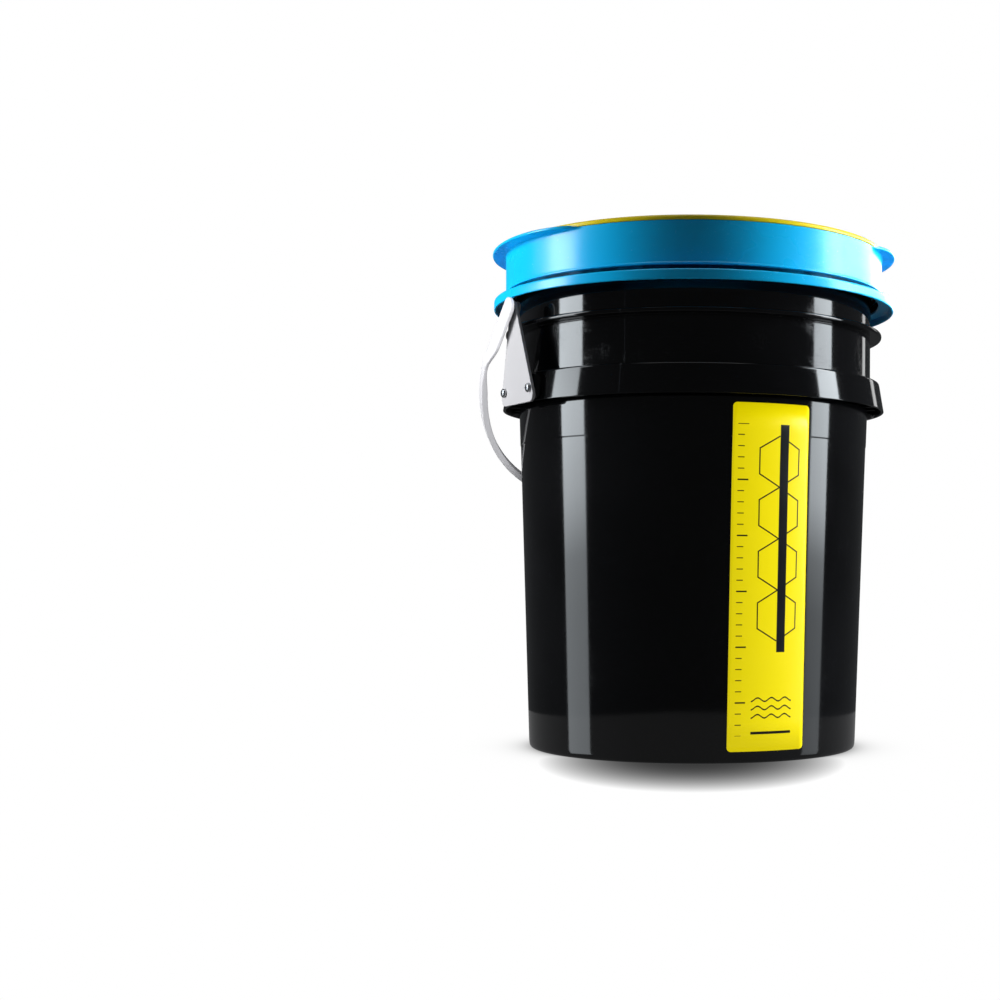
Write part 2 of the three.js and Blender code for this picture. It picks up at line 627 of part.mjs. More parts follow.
[['left', EAR_AZIMUTH], ['right', EAR_AZIMUTH + 180]].forEach(([side, azimuth]) => {
  const ear = turnedTo(azimuth);
  const ahead = Math.PI / 2;
  const plateMesh = piece(`handle_ear_${side}`, earPlate(), WHITE(), ear);
  plateMesh.position.set(0, -EAR_D, EAR_FOOT_Z);
  plateMesh.rotation.x = ahead + radians(EAR_LEAN);
  [['front', EAR_SCREW_X], ['rear', -EAR_SCREW_X]].forEach(([end, x]) => {
    const screw = piece(`ear_screw_${side}_${end}`, earScrew(), ZINC(), ear);
    screw.position.set(x, -(earBack(EAR_SCREW_Z) + EAR_T + 0.55), EAR_SCREW_Z);
    screw.rotation.x = ahead;
  });
  const back = earBack(PIVOT_Z) - 0.7;
  const pin = piece(`handle_pivot_${side}`, pivotPin(BAIL_D + 0.2 - back), WHITE(), ear);
  pin.position.set(0, -back, PIVOT_Z);
  pin.rotation.x = ahead;
});

const bailMesh = piece('handle_bail', bail(), WHITE(), turnedTo(EAR_AZIMUTH));
bailMesh.position.z = PIVOT_Z;
bailMesh.rotation.set(0, -radians(BAIL_DIP), Math.PI);

piece('splash_guard', splashGuard(), BLUE());
piece('inner_baffle', innerBaffle(), BLUE());
piece('rim_gasket', rimGasket(), RUBBER());
piece('splash_ring', splashRing(), YELLOW());
azimuths(RING_SCREW_COUNT, RING_SCREW_AZIMUTH).forEach((azimuth, i) => {
  const screw = piece(`ring_screw_${i + 1}`, panScrew(3.6, 2.5, 1.8, 12), ZINC(), turnedTo(azimuth));
  screw.position.set(0, -RING_SCREW_R, RING_Z[1] - 1 + GAP);
});

piece('wash_plate', washPlate(), BLUE());
piece('dispenser_cap', dispenserCap(), BLUE());
piece('dispenser_seal', dispenserSeal(), RUBBER());
piece('plunger_tube', plungerTube(), GREY());
piece('piston', piston(), GREY());
piece('piston_seal', pistonSeal(), RUBBER());
piece('outlet_valve', checkValve(PISTON_Z[1], 9.6, PISTON_Z[0] + 0.6), WHITE());
piece('spring_seat', springSeat(), ZINC());
piece('return_spring', returnSpring(), SPRING_STEEL());
piece('stop_ring', stopRing(), GREY());

piece('pump_cylinder', pumpCylinder(), GREY());
piece('cylinder_cap', cylinderCap(), BLACK());
piece('cap_seal', capSeal(), RUBBER());
piece('inlet_valve', checkValve(CYLINDER_Z[0] + 5.5, 12.6, CYLINDER_Z[0] - 3.2), WHITE());
piece('inlet_strainer', inletStrainer(), ZINC());
piece('pump_base', pumpBase(), BLACK());
azimuths(FLANGE_SCREW_COUNT, 45).forEach((azimuth, i) => {
  const screw = piece(`base_screw_${i + 1}`, panScrew(4, 2.8, 2, 14), ZINC(), turnedTo(azimuth));
  screw.position.set(0, -FLANGE_SCREW_R, CYLINDER_Z[0] + FLANGE_T + GAP);
});

export default object;
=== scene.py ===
import math

import bmesh
import bpy
from mathutils import Matrix, Vector


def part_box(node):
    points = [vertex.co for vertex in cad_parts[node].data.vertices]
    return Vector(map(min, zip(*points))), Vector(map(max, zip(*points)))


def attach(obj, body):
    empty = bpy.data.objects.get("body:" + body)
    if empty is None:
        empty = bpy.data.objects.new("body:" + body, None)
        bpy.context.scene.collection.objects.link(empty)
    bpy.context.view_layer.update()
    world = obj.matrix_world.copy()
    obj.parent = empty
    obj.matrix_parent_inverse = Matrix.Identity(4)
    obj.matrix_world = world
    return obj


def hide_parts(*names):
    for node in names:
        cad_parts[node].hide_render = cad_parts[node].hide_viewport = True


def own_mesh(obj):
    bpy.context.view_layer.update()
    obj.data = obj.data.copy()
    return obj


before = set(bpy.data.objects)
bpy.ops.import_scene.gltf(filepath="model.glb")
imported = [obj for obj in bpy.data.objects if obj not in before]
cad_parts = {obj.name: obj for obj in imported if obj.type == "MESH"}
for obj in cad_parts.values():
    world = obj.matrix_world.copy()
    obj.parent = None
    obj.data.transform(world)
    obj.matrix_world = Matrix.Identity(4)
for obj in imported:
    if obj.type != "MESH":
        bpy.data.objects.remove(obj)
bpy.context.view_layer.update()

# Looks of the pad-washing bucket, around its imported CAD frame.
# Sizes and profiles, as (radius, height, corner radius), are in millimetres about the pail's
# axis like the CAD part's; MM turns them into metres. Lights, floor and camera are in metres.
# The front is -Y, and azimuth is in degrees from it, positive towards +X.
MM = 0.001
GAP = 0.3  # clearance left between touching pieces
SKIN = 2.2  # wall of the collar, the skirt and the funnel
AROUND = 288  # facets round the large rings
AROUND_PUMP = 96
AROUND_SCREW = 40


def extent(node):
    """Largest radius and lowest and highest z of a CAD node, in millimetres."""
    low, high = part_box(node)
    return max(abs(low[0]), abs(high[0])) / MM, low[2] / MM, high[2] / MM


SHELL_R, _, RIM_Z = extent("bucket_shell")
_, HEM_Z, _ = extent("splash_guard")
RING_OUT_R, RING_LOW, RING_TOP = extent("splash_ring")
_, BAFFLE_FOOT_Z, _ = extent("inner_baffle")

BASE_R = 129  # pail, outside at the floor
BODY_TOP_R = 137.5  # pail, outside where the collar starts
NECK_R = 140  # pail, outside between the collar and the rim
WALL = 2.4
FLOOR_Z = 5.2  # inside floor
COLLAR_Z = (263.8, 286)
COLLAR_R = (SHELL_R, SHELL_R - 3.8)
RIB_Z = (321.2, 324.8)
RIB_R = 148.8
RIM_R = 145
LOCATOR_R = 98  # ridge on the floor that the pump base sits inside
BODY_STEP_Z = 237  # the body stands out a little above this height
BODY_STEP = 0.35
SEAM_AZIMUTH = -20.5  # the mould's parting line; the other is opposite

EAR_AZIMUTH = -58.5  # left ear; the other is opposite
EAR_D = 151.8  # back of the ear plate from the pail's axis, at its foot
EAR_LEAN = 3.2  # degrees outwards
EAR_FOOT_Z = 262.6
EAR_HALF_W = 27
EAR_T = 2.5
EAR_SCREW_X = 21.2
EAR_SCREW_Z = 272.6
PIVOT_Z = 334.4  # bail axis
EAR_TIP_R = 4.6

BAIL_D = 161.2  # middle of the strap from the pail's axis at the pivots
BAIL_T = 2.8
BAIL_W = 7.6
BAIL_TAB_W = 14.4
BAIL_TAB_LENGTH = 48  # pivot axis to the step where the strap begins
BAIL_STRAIGHT = 54  # the loop is straight this far from the pivots
BAIL_CONTROLS = (62, 146)  # reach and distance of the bend's control points
BAIL_REACH = 196  # pivot axis to the middle of the loop
BAIL_DIP = 44.8  # degrees that the resting bail hangs below level
STRAP_SWELL = 2.2  # extra thickness on the strap's inner side, past its tabs

LABEL_AZIMUTH = 24.8
LABEL_W = 61.4
LABEL_Z = (8.8, 259)
LABEL_R = 134.4  # middle radius of the label, for its artwork

SKIRT_R = 158
GUARD_R = 148.8
GUARD_WALL = 2.6
GUARD_WALL_TOP = RING_LOW - GAP
DECK_Z = HEM_Z + 7.4  # top of the skirt
STEP_Z = HEM_Z + 12.2  # the wall's foot, over the recess above the skirt
SHELF_Z = (366.8, 368.8)  # shelf inside the guard that rests on the rim
SHELF_IN_R = 135.5
LIP_AZIMUTH = -74  # middle of the left finger lip; the other is opposite
LIP_HALF_SPAN = 40  # degrees
LIP_R = 159.2
LIP_Z = (384.2, 386.7)
BAFFLE_TOP_R = 130.4  # funnel, outside at the shelf
BAFFLE_FOOT_R = 114.2

RING_IN_R = 126.5
SCREW_R = 137  # circle of the ring's screws
SCREW_AZIMUTH = 14  # first screw

PLATE_R = 106
PLATE_EDGE_Z = 323
PLATE_CROWN_Z = 357
PLATE_T = 2.6
CROWN_R = 27.5
RECESS_Z = 353  # floor of the recess that holds the dispenser
DISPENSER_R = 24.5
DISPENSER_TOP = 359.4
HUB_FOOT_Z = 306
TUBE_R = 15  # plunger tube, outside
TUBE_TOP_Z = 345.6
FLUTES = 12
FLUTE_AZIMUTH = 15

CAP_TOP_Z = 213
SPRING_R = 22
SPRING_WIRE_R = 1.5
SPRING_TURNS = 8
SPRING_SEAT_T = 2.6


# ---- mesh helpers --------------------------------------------------------------
def azimuths(count, first=0.0):
    return [first + 360 * i / count for i in range(count)]


def fillet(points, steps=4):
    """Polyline with rounded corners: a point may carry a third value, its corner radius."""
    out = []
    count = len(points)
    for i, point in enumerate(points):
        radius = point[2] if len(point) > 2 else 0
        here = Vector(point[:2])
        if not radius:
            out.append(tuple(here))
            continue
        back = (Vector(points[i - 1][:2]) - here)
        ahead = (Vector(points[(i + 1) % count][:2]) - here)
        reach = min(radius, back.length * 0.49, ahead.length * 0.49)
        a = here + back.normalized() * reach
        b = here + ahead.normalized() * reach
        for k in range(steps + 1):
            t = k / steps
            out.append(tuple(a * (1 - t) ** 2 + here * 2 * t * (1 - t) + b * t * t))
    return out


def new_object(name, mesh):
    obj = bpy.data.objects.new(name, mesh)
    bpy.context.scene.collection.objects.link(obj)
    return obj


def from_bmesh(name, bm, sharp_deg=38):
    bmesh.ops.remove_doubles(bm, verts=bm.verts, dist=1e-7)
    bmesh.ops.recalc_face_normals(bm, faces=bm.faces)
    limit = math.radians(sharp_deg)
    for edge in bm.edges:
        if len(edge.link_faces) == 2 and edge.calc_face_angle(0) > limit:
            edge.smooth = False
    for face in bm.faces:
        face.smooth = True
    mesh = bpy.data.meshes.new(name)
    bm.to_mesh(mesh)
    bm.free()
    return new_object(name, mesh)


def spin(bm, profile, segments, shape=None):
    """Adds the surface that a profile sweeps about Z.

    shape(i, azimuth) may return (dr, dz) for the profile's point i.
    """
    rows = []
    for k in range(segments):
        angle = 2 * math.pi * k / segments
        row = []
        for i, (r, z) in enumerate(profile):
            if shape:
                dr, dz = shape(i, math.degrees(angle))
                r, z = r + dr, z + dz
            if r < 1e-6 and k:
                row.append(rows[0][i])
            else:
                row.append(bm.verts.new((r * math.sin(angle) * MM, -r * math.cos(angle) * MM, z * MM)))
        rows.append(row)
    for k in range(segments):
        a, b = rows[k], rows[(k + 1) % segments]
        for i in range(len(profile) - 1):
            corners = []
            for v in (a[i], b[i], b[i + 1], a[i + 1]):
                if v not in corners:
                    corners.append(v)
            if len(corners) > 2:
                bm.faces.new(corners)


def turned(name, profile, segments=AROUND_PUMP, closed=False, steps=4, sharp_deg=38):
    """Solid of revolution. closed joins the profile's last point to its first."""
    points = fillet(profile, steps)
    if closed:
        points.append(points[0])
    bm = bmesh.new()
    spin(bm, points, segments)
    return from_bmesh(name, bm, sharp_deg)


def apply_modifiers(obj):
    """Bakes the modifiers into the mesh."""
    bpy.context.view_layer.update()
    evaluated = obj.evaluated_get(bpy.context.evaluated_depsgraph_get())
    mesh = bpy.data.meshes.new_from_object(evaluated)
    obj.modifiers.clear()
    obj.data = mesh
    return obj


def boolean(obj, other, operation="DIFFERENCE"):
    """Cuts other from obj, or joins it on, and deletes other."""
    modifier = obj.modifiers.new("cut", "BOOLEAN")
    modifier.operation = operation
    modifier.solver = "EXACT"
    modifier.object = other
    apply_modifiers(obj)
    bpy.data.objects.remove(other, do_unlink=True)
    return obj


def bevel(obj, width_mm, segments=3, angle_deg=35):
    modifier = obj.modifiers.new("bevel", "BEVEL")
    modifier.width = width_mm * MM
    modifier.segments = segments
    modifier.limit_method = "ANGLE"
    modifier.angle_limit = math.radians(angle_deg)
    modifier.harden_normals = True
    return apply_modifiers(obj)


def large_faces_lead(obj):
    """Keeps long flat or conical walls even beside their small fillets."""
    modifier = obj.modifiers.new("normals", "WEIGHTED_NORMAL")
    modifier.mode = "FACE_AREA"
    modifier.keep_sharp = True
    return apply_modifiers(obj)


def place(obj, azimuth=0.0, matrix=None):
    """Moves the mesh itself: first by matrix, then round the pail's axis."""
    turn = Matrix.Rotation(math.radians(azimuth), 4, "Z")
    obj.data.transform(turn @ (matrix or Matrix.Identity(4)))
    return obj


def prism(name, outline, low, high):
    """Flat outline in XY millimetres, given a thickness along Z."""
    bm = bmesh.new()
    bottom = [bm.verts.new((x * MM, y * MM, low * MM)) for x, y in outline]
    top = [bm.verts.new((x * MM, y * MM, high * MM)) for x, y in outline]
    bm.faces.new(list(reversed(bottom)))
    bm.faces.new(top)
    for i in range(len(outline)):
        j = (i + 1) % len(outline)
        bm.faces.new((bottom[i], bottom[j], top[j], top[i]))
    return from_bmesh(name, bm, 30)


def beam(name, half, near, far, low, high):
    """Upright block at the front, between two distances from the pail's axis."""
    return prism(name, [(-half, -far), (half, -far), (half, -near), (-half, -near)], low, high)


def cylinder_bundle(name, centres, radius, low, high, sides=20):
    """Many upright cylinders as one object, for drilling."""
    bm = bmesh.new()
    for x, y in centres:
        turn = Matrix.Translation((x * MM, y * MM, (low + high) / 2 * MM))
        bmesh.ops.create_cone(
            bm, cap_ends=True, segments=sides, radius1=radius * MM, radius2=radius * MM,
            depth=(high - low) * MM, matrix=turn)
    mesh = bpy.data.meshes.new(name)
    bm.to_mesh(mesh)
    bm.free()
    return new_object(name, mesh)


def join(name, objects):
    """One object from several, which are deleted."""
    bm = bmesh.new()
    for obj in objects:
        bm.from_mesh(obj.data)
        bpy.data.objects.remove(obj, do_unlink=True)
    mesh = bpy.data.meshes.new(name)
    bm.to_mesh(mesh)
    bm.free()
    return new_object(name, mesh)


def skin_rows(bm, rows):
    """Joins rows of vertices, each a closed section, into a tube with closed ends."""
    for row, following in zip(rows, rows[1:]):
        for i in range(len(row)):
            j = (i + 1) % len(row)
            bm.faces.new((row[i], row[j], following[j], following[i]))
    bm.faces.new(rows[0])
    bm.faces.new(rows[-1])


def slice_evenly(bm, normal, low, high, count):
    """Cuts a flat sheet into strips of equal width along a direction."""
    for k in range(1, count):
        cut = Vector(normal) * (low + (high - low) * k / count)
        geometry = bm.verts[:] + bm.edges[:] + bm.faces[:]
        bmesh.ops.bisect_plane(bm, geom=geometry, plane_co=cut, plane_no=normal)


def smoothstep(t):
    """Eases from 0 to 1 as t does, and stays at the ends beyond it."""
    t = min(1.0, max(0.0, t))
    return t * t * (3 - 2 * t)


def at_azimuth(radius, azimuth):
    """The x and y of a point at a distance from the pail's axis."""
    a = math.radians(azimuth)
    return radius * math.sin(a), -radius * math.cos(a)


def arc(cx, cy, radius, start, end, steps=10):
    """Points of an arc, angles in degrees."""
    angles = [math.radians(start + (end - start) * k / steps) for k in range(steps + 1)]
    return [(cx + radius * math.cos(a), cy + radius * math.sin(a)) for a in angles]


def finish_piece(obj, body, slot, material, *nodes):
    """What every new piece gets: its material, its body and the nodes that it stands for; its slot is not
    used.
    """
    obj.data.materials.clear()
    obj.data.materials.append(material)
    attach(obj, body)
    if nodes:
        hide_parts(*nodes)
    return obj


# ---- node materials ------------------------------------------------------------
class Graph:
    """Short way to write a material's nodes."""

    def __init__(self, name):
        self.material = bpy.data.materials.new(name)
        self.material.use_nodes = True
        self.tree = self.material.node_tree
        self.tree.nodes.clear()
        self.output = self.tree.nodes.new("ShaderNodeOutputMaterial")
        self.shader = self.tree.nodes.new("ShaderNodeBsdfPrincipled")
        self.tree.links.new(self.shader.outputs[0], self.output.inputs[0])
        self.coords = self.tree.nodes.new("ShaderNodeTexCoord").outputs["Object"]

    def link(self, source, socket):
        if isinstance(source, (int, float, tuple)):
            socket.default_value = source
        else:
            self.tree.links.new(source, socket)

    def math(self, operation, a, b=0.0, c=0.0, clamp=False):
        node = self.tree.nodes.new("ShaderNodeMath")
        node.operation = operation
        node.use_clamp = clamp
        for value, socket in zip((a, b, c), node.inputs):
            self.link(value, socket)
        return node.outputs[0]

    def plus(self, a, b):
        return self.math("ADD", a, b)

    def minus(self, a, b):
        return self.math("SUBTRACT", a, b)

    def times(self, a, b):
        return self.math("MULTIPLY", a, b)

    def noise(self, scale, detail=3.0, roughness=0.5, stretch=(1, 1, 1)):
        mapping = self.tree.nodes.new("ShaderNodeMapping")
        mapping.inputs["Scale"].default_value = stretch
        self.link(self.coords, mapping.inputs["Vector"])
        node = self.tree.nodes.new("ShaderNodeTexNoise")
        node.inputs["Scale"].default_value = scale
        node.inputs["Detail"].default_value = detail
        node.inputs["Roughness"].default_value = roughness
        self.link(mapping.outputs[0], node.inputs["Vector"])
        return node.outputs["Fac"]

    def ramp(self, value, low, high, out_low=0.0, out_high=1.0):
        node = self.tree.nodes.new("ShaderNodeMapRange")
        for key, v in zip(("From Min", "From Max", "To Min", "To Max"), (low, high, out_low, out_high)):
            node.inputs[key].default_value = v
        self.link(value, node.inputs["Value"])
        return node.outputs[0]

    def mix(self, factor, a, b):
        node = self.tree.nodes.new("ShaderNodeMix")
        node.data_type = "RGBA"
        self.link(factor, node.inputs[0])
        self.link(a, node.inputs[6])
        self.link(b, node.inputs[7])
        return node.outputs[2]

    def inside(self, value, middle, half, soft=0.12):
        """1 where a value lies within half of middle, 0 elsewhere."""
        away = self.math("ABSOLUTE", self.minus(value, middle))
        return self.ramp(away, half - soft, half + soft, 1.0, 0.0)

    def between(self, value, low, high, soft):
        """1 where a value lies between low and high, 0 elsewhere."""
        above = self.ramp(value, low - soft, low + soft)
        return self.times(above, self.ramp(value, high - soft, high + soft, 1.0, 0.0))

    def either(self, *values):
        total = values[0]
        for value in values[1:]:
            total = self.math("MAXIMUM", total, value)
        return total

    def split(self):
        """The shaded point's x, y and z."""
        node = self.tree.nodes.new("ShaderNodeSeparateXYZ")
        self.link(self.coords, node.inputs[0])
        return node.outputs

    def scratches(self, amount):
        """Thin broken lines, 0 to 1: where a stretched noise crosses its middle."""
        line = self.math("ABSOLUTE", self.minus(self.noise(90, 2, 0.5, (1, 1, 14)), 0.5))
        thin = self.ramp(line, 0.0, 0.006, 1.0, 0.0)
        patch = self.ramp(self.noise(14, 3), 0.56, 0.7)
        return self.times(self.times(thin, patch), amount)

    def bump(self, *layers):
        """layers are (height, distance_mm) pairs, each added to the one before."""
        normal = None
        for height, distance in layers:
            node = self.tree.nodes.new("ShaderNodeBump")
            node.inputs["Distance"].default_value = distance * MM
            node.inputs["Strength"].default_value = 1.0
            self.link(height, node.inputs["Height"])
            if normal:
                self.link(normal, node.inputs["Normal"])
            normal = node.outputs[0]
        self.link(normal, self.shader.inputs["Normal"])


def rgba(r, g, b):
    return (r, g, b, 1.0)


def moulded(name, color, pale, roughness, scratch, grain=0.006, extra=None):
    """Moulded plastic: slow gloss changes, fine ripple, hairline scratches and a little dust.

    extra(g, tone, marks) may change the tone and the marks and add a raised seam.
    """
    g = Graph(name)
    slow = g.noise(9, 4)
    dust = g.ramp(g.noise(420, 2, 0.7), 0.66, 0.8)
    marks = g.scratches(scratch)
    tone = g.mix(g.ramp(slow, 0.35, 0.65, 0.0, 0.35), rgba(*color), rgba(*pale))
    seam = 0.0
    if extra:
        tone, marks, seam = extra(g, tone, marks)
    wear = g.math("MAXIMUM", marks, g.times(dust, 0.25))
    worn = g.mix(g.times(wear, 0.35), tone, rgba(*pale))
    g.link(worn, g.shader.inputs["Base Color"])
    rough = g.ramp(slow, 0.3, 0.7, roughness * 0.82, roughness * 1.2)
    rough = g.math("ADD", rough, g.times(wear, 0.3), clamp=True)
    g.link(rough, g.shader.inputs["Roughness"])
    g.bump(
        (g.noise(55, 3), grain * 6), (g.noise(1500, 2), grain),
        (g.minus(1.0, marks), 0.01), (seam, 0.12))
    return g.material


def around_and_up(g):
    """Azimuth in degrees, radius and height in millimetres at the shaded point."""
    x, y, z = g.split()
    azimuth = g.math("DEGREES", g.math("ARCTAN2", x, g.times(y, -1.0)))
    radius = g.math("SQRT", g.plus(g.times(x, x), g.times(y, y)))
    return azimuth, g.math("DIVIDE", radius, MM), g.math("DIVIDE", z, MM)


def mould_seam(g, azimuth, up):
    """Thin line, 0 to 1, at the two places where the halves of the mould met."""
    turn = g.math("WRAP", g.minus(azimuth, SEAM_AZIMUTH), 180.0, 0.0)
    away = g.math("MINIMUM", turn, g.minus(180.0, turn))
    return g.times(g.ramp(away, 0.0, 0.28, 1.0, 0.0), g.ramp(up, COLLAR_Z[0] - 1.8, COLLAR_Z[0] + 2.2))


def neck_scuffs(g, up):
    """Marks where stacked pails rub on the neck and collar."""
    rubbed = g.times(g.between(up, 284, 330, 6), g.ramp(g.noise(30, 3), 0.52, 0.62))
    line = g.math("ABSOLUTE", g.minus(g.noise(260, 3, 0.6, (1, 1, 3)), 0.5))
    return g.times(g.ramp(line, 0.0, 0.012, 1.0, 0.0), g.times(rubbed, 0.9))


def pail_wear(g, tone, marks):
    """Parting lines of the mould, and scuffed plastic above the collar."""
    azimuth, _, up = around_and_up(g)
    seam = mould_seam(g, azimuth, up)
    tone = g.mix(g.times(seam, 0.7), tone, rgba(0.016, 0.018, 0.022))
    return tone, g.math("MAXIMUM", marks, neck_scuffs(g, up)), seam


def painted_recess_shade(g, tone, marks):
    """Painted shade: dark navy, a little patchy, in the recess between the wall and the skirt, and less
    shine there.
    """
    _, radius, up = around_and_up(g)
    height = g.between(up, DECK_Z - 0.5, STEP_Z - 0.1, 0.25)
    recess = g.times(height, g.ramp(radius, GUARD_R - 0.6, GUARD_R + 0.8, 1.0, 0.0))
    painted_shade = g.times(recess, g.ramp(g.noise(60, 3), 0.2, 0.5, 0.8, 0.97))
    shine = g.times(g.minus(1.0, painted_shade), 0.5)
    g.link(shine, g.shader.inputs["Specular IOR Level"])
    return g.mix(painted_shade, tone, rgba(0.0, 0.012, 0.03)), marks, 0.0


def metal(name, color, roughness):
    """Zinc-plated or drawn steel: fine turned lines, dull patches and small dark pits."""
    g = Graph(name)
    slow = g.noise(160, 4)
    lines = g.noise(500, 2, 0.6, (1, 1, 12))
    pits = g.ramp(g.noise(900, 2), 0.62, 0.72)
    dark = tuple(c * 0.55 for c in color)
    dull = g.math("MAXIMUM", g.times(pits, 0.6), g.ramp(slow, 0.4, 0.75, 0.0, 0.4))
    tone = g.mix(dull, rgba(*color), rgba(*dark))
    g.link(tone, g.shader.inputs["Base Color"])
    g.link(g.ramp(slow, 0.3, 0.7, roughness * 0.7, roughness * 1.5), g.shader.inputs["Roughness"])
    g.shader.inputs["Metallic"].default_value = 1.0
    g.bump((lines, 0.01), (g.minus(1.0, pits), 0.015))
    return g.material


def rubber(name):
    """Matt black rubber with a grained, slightly uneven skin."""
    g = Graph(name)
    slow = g.noise(120, 4)
    tone = g.mix(g.ramp(slow, 0.4, 0.7), rgba(0.012, 0.012, 0.013), rgba(0.03, 0.03, 0.031))
    g.link(tone, g.shader.inputs["Base Color"])
    g.link(g.ramp(slow, 0.3, 0.7, 0.6, 0.85), g.shader.inputs["Roughness"])
    g.bump((g.noise(2200, 3), 0.02), (slow, 0.05))
    return g.material


def label_ink(g):
    """Plain printed design, 0 to 1: gauge bar, hexagon outlines, level ticks, waves and a foot line."""
    azimuth, _, up = around_and_up(g)
    across = g.times(g.minus(azimuth, LABEL_AZIMUTH), math.radians(LABEL_R))

    def field(middle, half_width, height, half_height):
        return g.times(g.inside(across, middle, half_width), g.inside(up, height, half_height))

    def ticks(pitch, thickness, middle, half_width):
        step = g.minus(g.math("WRAP", up, pitch, 0.0), 4.0)
        return g.times(g.inside(step, 0.0, thickness), field(middle, half_width, 132, 112))

    bar = field(9.5, 3.6, 162, 82)
    levels = g.either(ticks(8.0, 0.35, -24.0, 2.4), ticks(40.0, 0.55, -22.5, 4.0))
    crest = g.times(g.math("SINE", g.times(across, 0.55)), 1.3)
    flat = g.minus(up, crest)
    waves = g.either(*[g.inside(flat, level, 0.55) for level in (46, 40, 34)])
    water = g.times(waves, g.inside(across, 3, 17))
    return g.either(bar, hexagons(g, across, up), levels, water, field(3, 17, 22, 1.0))


def hexagons(g, across, up):
    """Column of hexagon outlines, one in each cell of the label's height."""
    cell = 37.0
    along = g.minus(g.math("WRAP", g.minus(up, 88.0), cell, 0.0), cell / 2)
    ax = g.math("ABSOLUTE", g.minus(across, 6.0))
    az = g.times(g.math("ABSOLUTE", along), math.sin(math.radians(60)))
    reach = g.math("MAXIMUM", ax, g.plus(g.times(ax, 0.5), az))
    return g.times(g.inside(reach, 16.0, 0.5), g.inside(up, 162, 74))


def label_film(name):
    """Yellow film with a bright ground and dark ink; the ground's glow is painted light."""
    g = Graph(name)
    ink = label_ink(g)
    slow = g.noise(12, 3)
    ground = g.ramp(slow, 0.35, 0.7, 0.0, 0.5)
    film = g.mix(ground, rgba(0.42, 0.36, 0.001), rgba(0.38, 0.33, 0.001))
    g.link(g.mix(ink, film, rgba(0.006, 0.006, 0.008)), g.shader.inputs["Base Color"])
    # painted light: the yellow ground glows so that it looks brighter than its lighting makes it
    g.link(g.mix(ink, rgba(0.60, 0.50, 0.0), rgba(0, 0, 0)), g.shader.inputs["Emission Color"])
    g.shader.inputs["Emission Strength"].default_value = 1.0
    marks = g.scratches(0.5)
    rough = g.plus(g.ramp(slow, 0.3, 0.7, 0.26, 0.4), g.times(marks, 0.3))
    g.link(rough, g.shader.inputs["Roughness"])
    g.bump((g.noise(70, 3), 0.05), (g.noise(1800, 2), 0.004), (ink, 0.015))
    return g.material


BLUES = (0.0, 0.49, 0.96), (0.003, 0.54, 0.98)
BLACK = moulded(
    "black_hdpe", (0.0012, 0.0013, 0.0016), (0.006, 0.0064, 0.0075), 0.07, 0.5,
    grain=0.0012, extra=pail_wear)
BLUE = moulded("blue_plastic", *BLUES, 0.24, 0.3)
# the guard's blue carries painted shade in the recess over the skirt
GUARD_BLUE = moulded("guard_blue_plastic", *BLUES, 0.24, 0.3, extra=painted_recess_shade)
YELLOW = moulded("yellow_plastic", (0.80, 0.64, 0.001), (0.86, 0.71, 0.006), 0.27, 0.3)
WHITE = moulded("white_plastic", (0.47, 0.47, 0.49), (0.5, 0.5, 0.515), 0.4, 0.2)
GREY = moulded("grey_acetal", (0.13, 0.14, 0.155), (0.2, 0.21, 0.22), 0.4, 0.3)
DULL_BLACK = moulded("black_acetal", (0.012, 0.012, 0.014), (0.03, 0.03, 0.032), 0.4, 0.3)
ZINC = metal("zinc_plate", (0.66, 0.67, 0.69), 0.24)
STEEL = metal("spring_wire", (0.42, 0.42, 0.44), 0.3)
RUBBER = rubber("black_rubber")
FILM = label_film("label_film")


# ---- pail ----------------------------------------------------------------------
def body_radius(z):
    return BASE_R + (BODY_TOP_R - BASE_R) * z / COLLAR_Z[0]


def pail_outside():
    """From the middle of the foot up to the neck, over the collar's open skirt."""
    pad_r, foot_r, recess = 22, 114, 2.4
    below = BODY_STEP_Z - 1
    web = COLLAR_Z[1] - 3
    foot = [
        (0, 0), (pad_r, 0, 0.6), (pad_r + 2, recess, 0.6), (foot_r - 2, recess, 0.6), (foot_r, 0, 0.6),
        (BASE_R - 0.4, 0, 3.6),
    ]
    body = [(body_radius(z), z) for z in (6, 60, 130, 200, below)]
    stepped = [
        (body_radius(below) + BODY_STEP, BODY_STEP_Z, 0.4), (body_radius(250) + BODY_STEP, 250),
        (BODY_TOP_R + BODY_STEP, COLLAR_Z[0]), (BODY_TOP_R + BODY_STEP, web, 0.8),
    ]
    collar = [
        (COLLAR_R[1] - SKIN, web, 0.8), (COLLAR_R[0] - SKIN, COLLAR_Z[0], 0.4),
        (COLLAR_R[0], COLLAR_Z[0], 0.5), (COLLAR_R[1], COLLAR_Z[1], 1.6), (NECK_R, COLLAR_Z[1], 1.2),
    ]
    return foot + body + stepped + collar


def pail_neck():
    """From the collar up past the rib and over the rim."""
    return [
        (NECK_R, 303), (NECK_R, RIB_Z[0], 0.5), (RIB_R, RIB_Z[0], 1.7), (RIB_R, RIB_Z[1], 1.7),
        (NECK_R, RIB_Z[1], 0.8), (NECK_R, RIM_Z - 12, 1.0), (RIM_R, RIM_Z - 10, 1.5), (RIM_R, RIM_Z, 2.0),
    ]


def pail_inside():
    """From the rim down to the middle of the floor, with the pump's locating ridge."""
    return [
        (NECK_R - WALL, RIM_Z, 1.0), (NECK_R - WALL, COLLAR_Z[1] + 4), (BODY_TOP_R - WALL, COLLAR_Z[0] - 4),
        (body_radius(130) - WALL, 130), (body_radius(14) - WALL, 14, 2),
        (BASE_R - 8, FLOOR_Z, 4), (LOCATOR_R + 2, FLOOR_Z, 0.5), (LOCATOR_R + 1.5, FLOOR_Z + 5, 0.5),
        (LOCATOR_R, FLOOR_Z + 5, 0.5), (LOCATOR_R - 0.5, FLOOR_Z, 0.5), (0, FLOOR_Z),
    ]


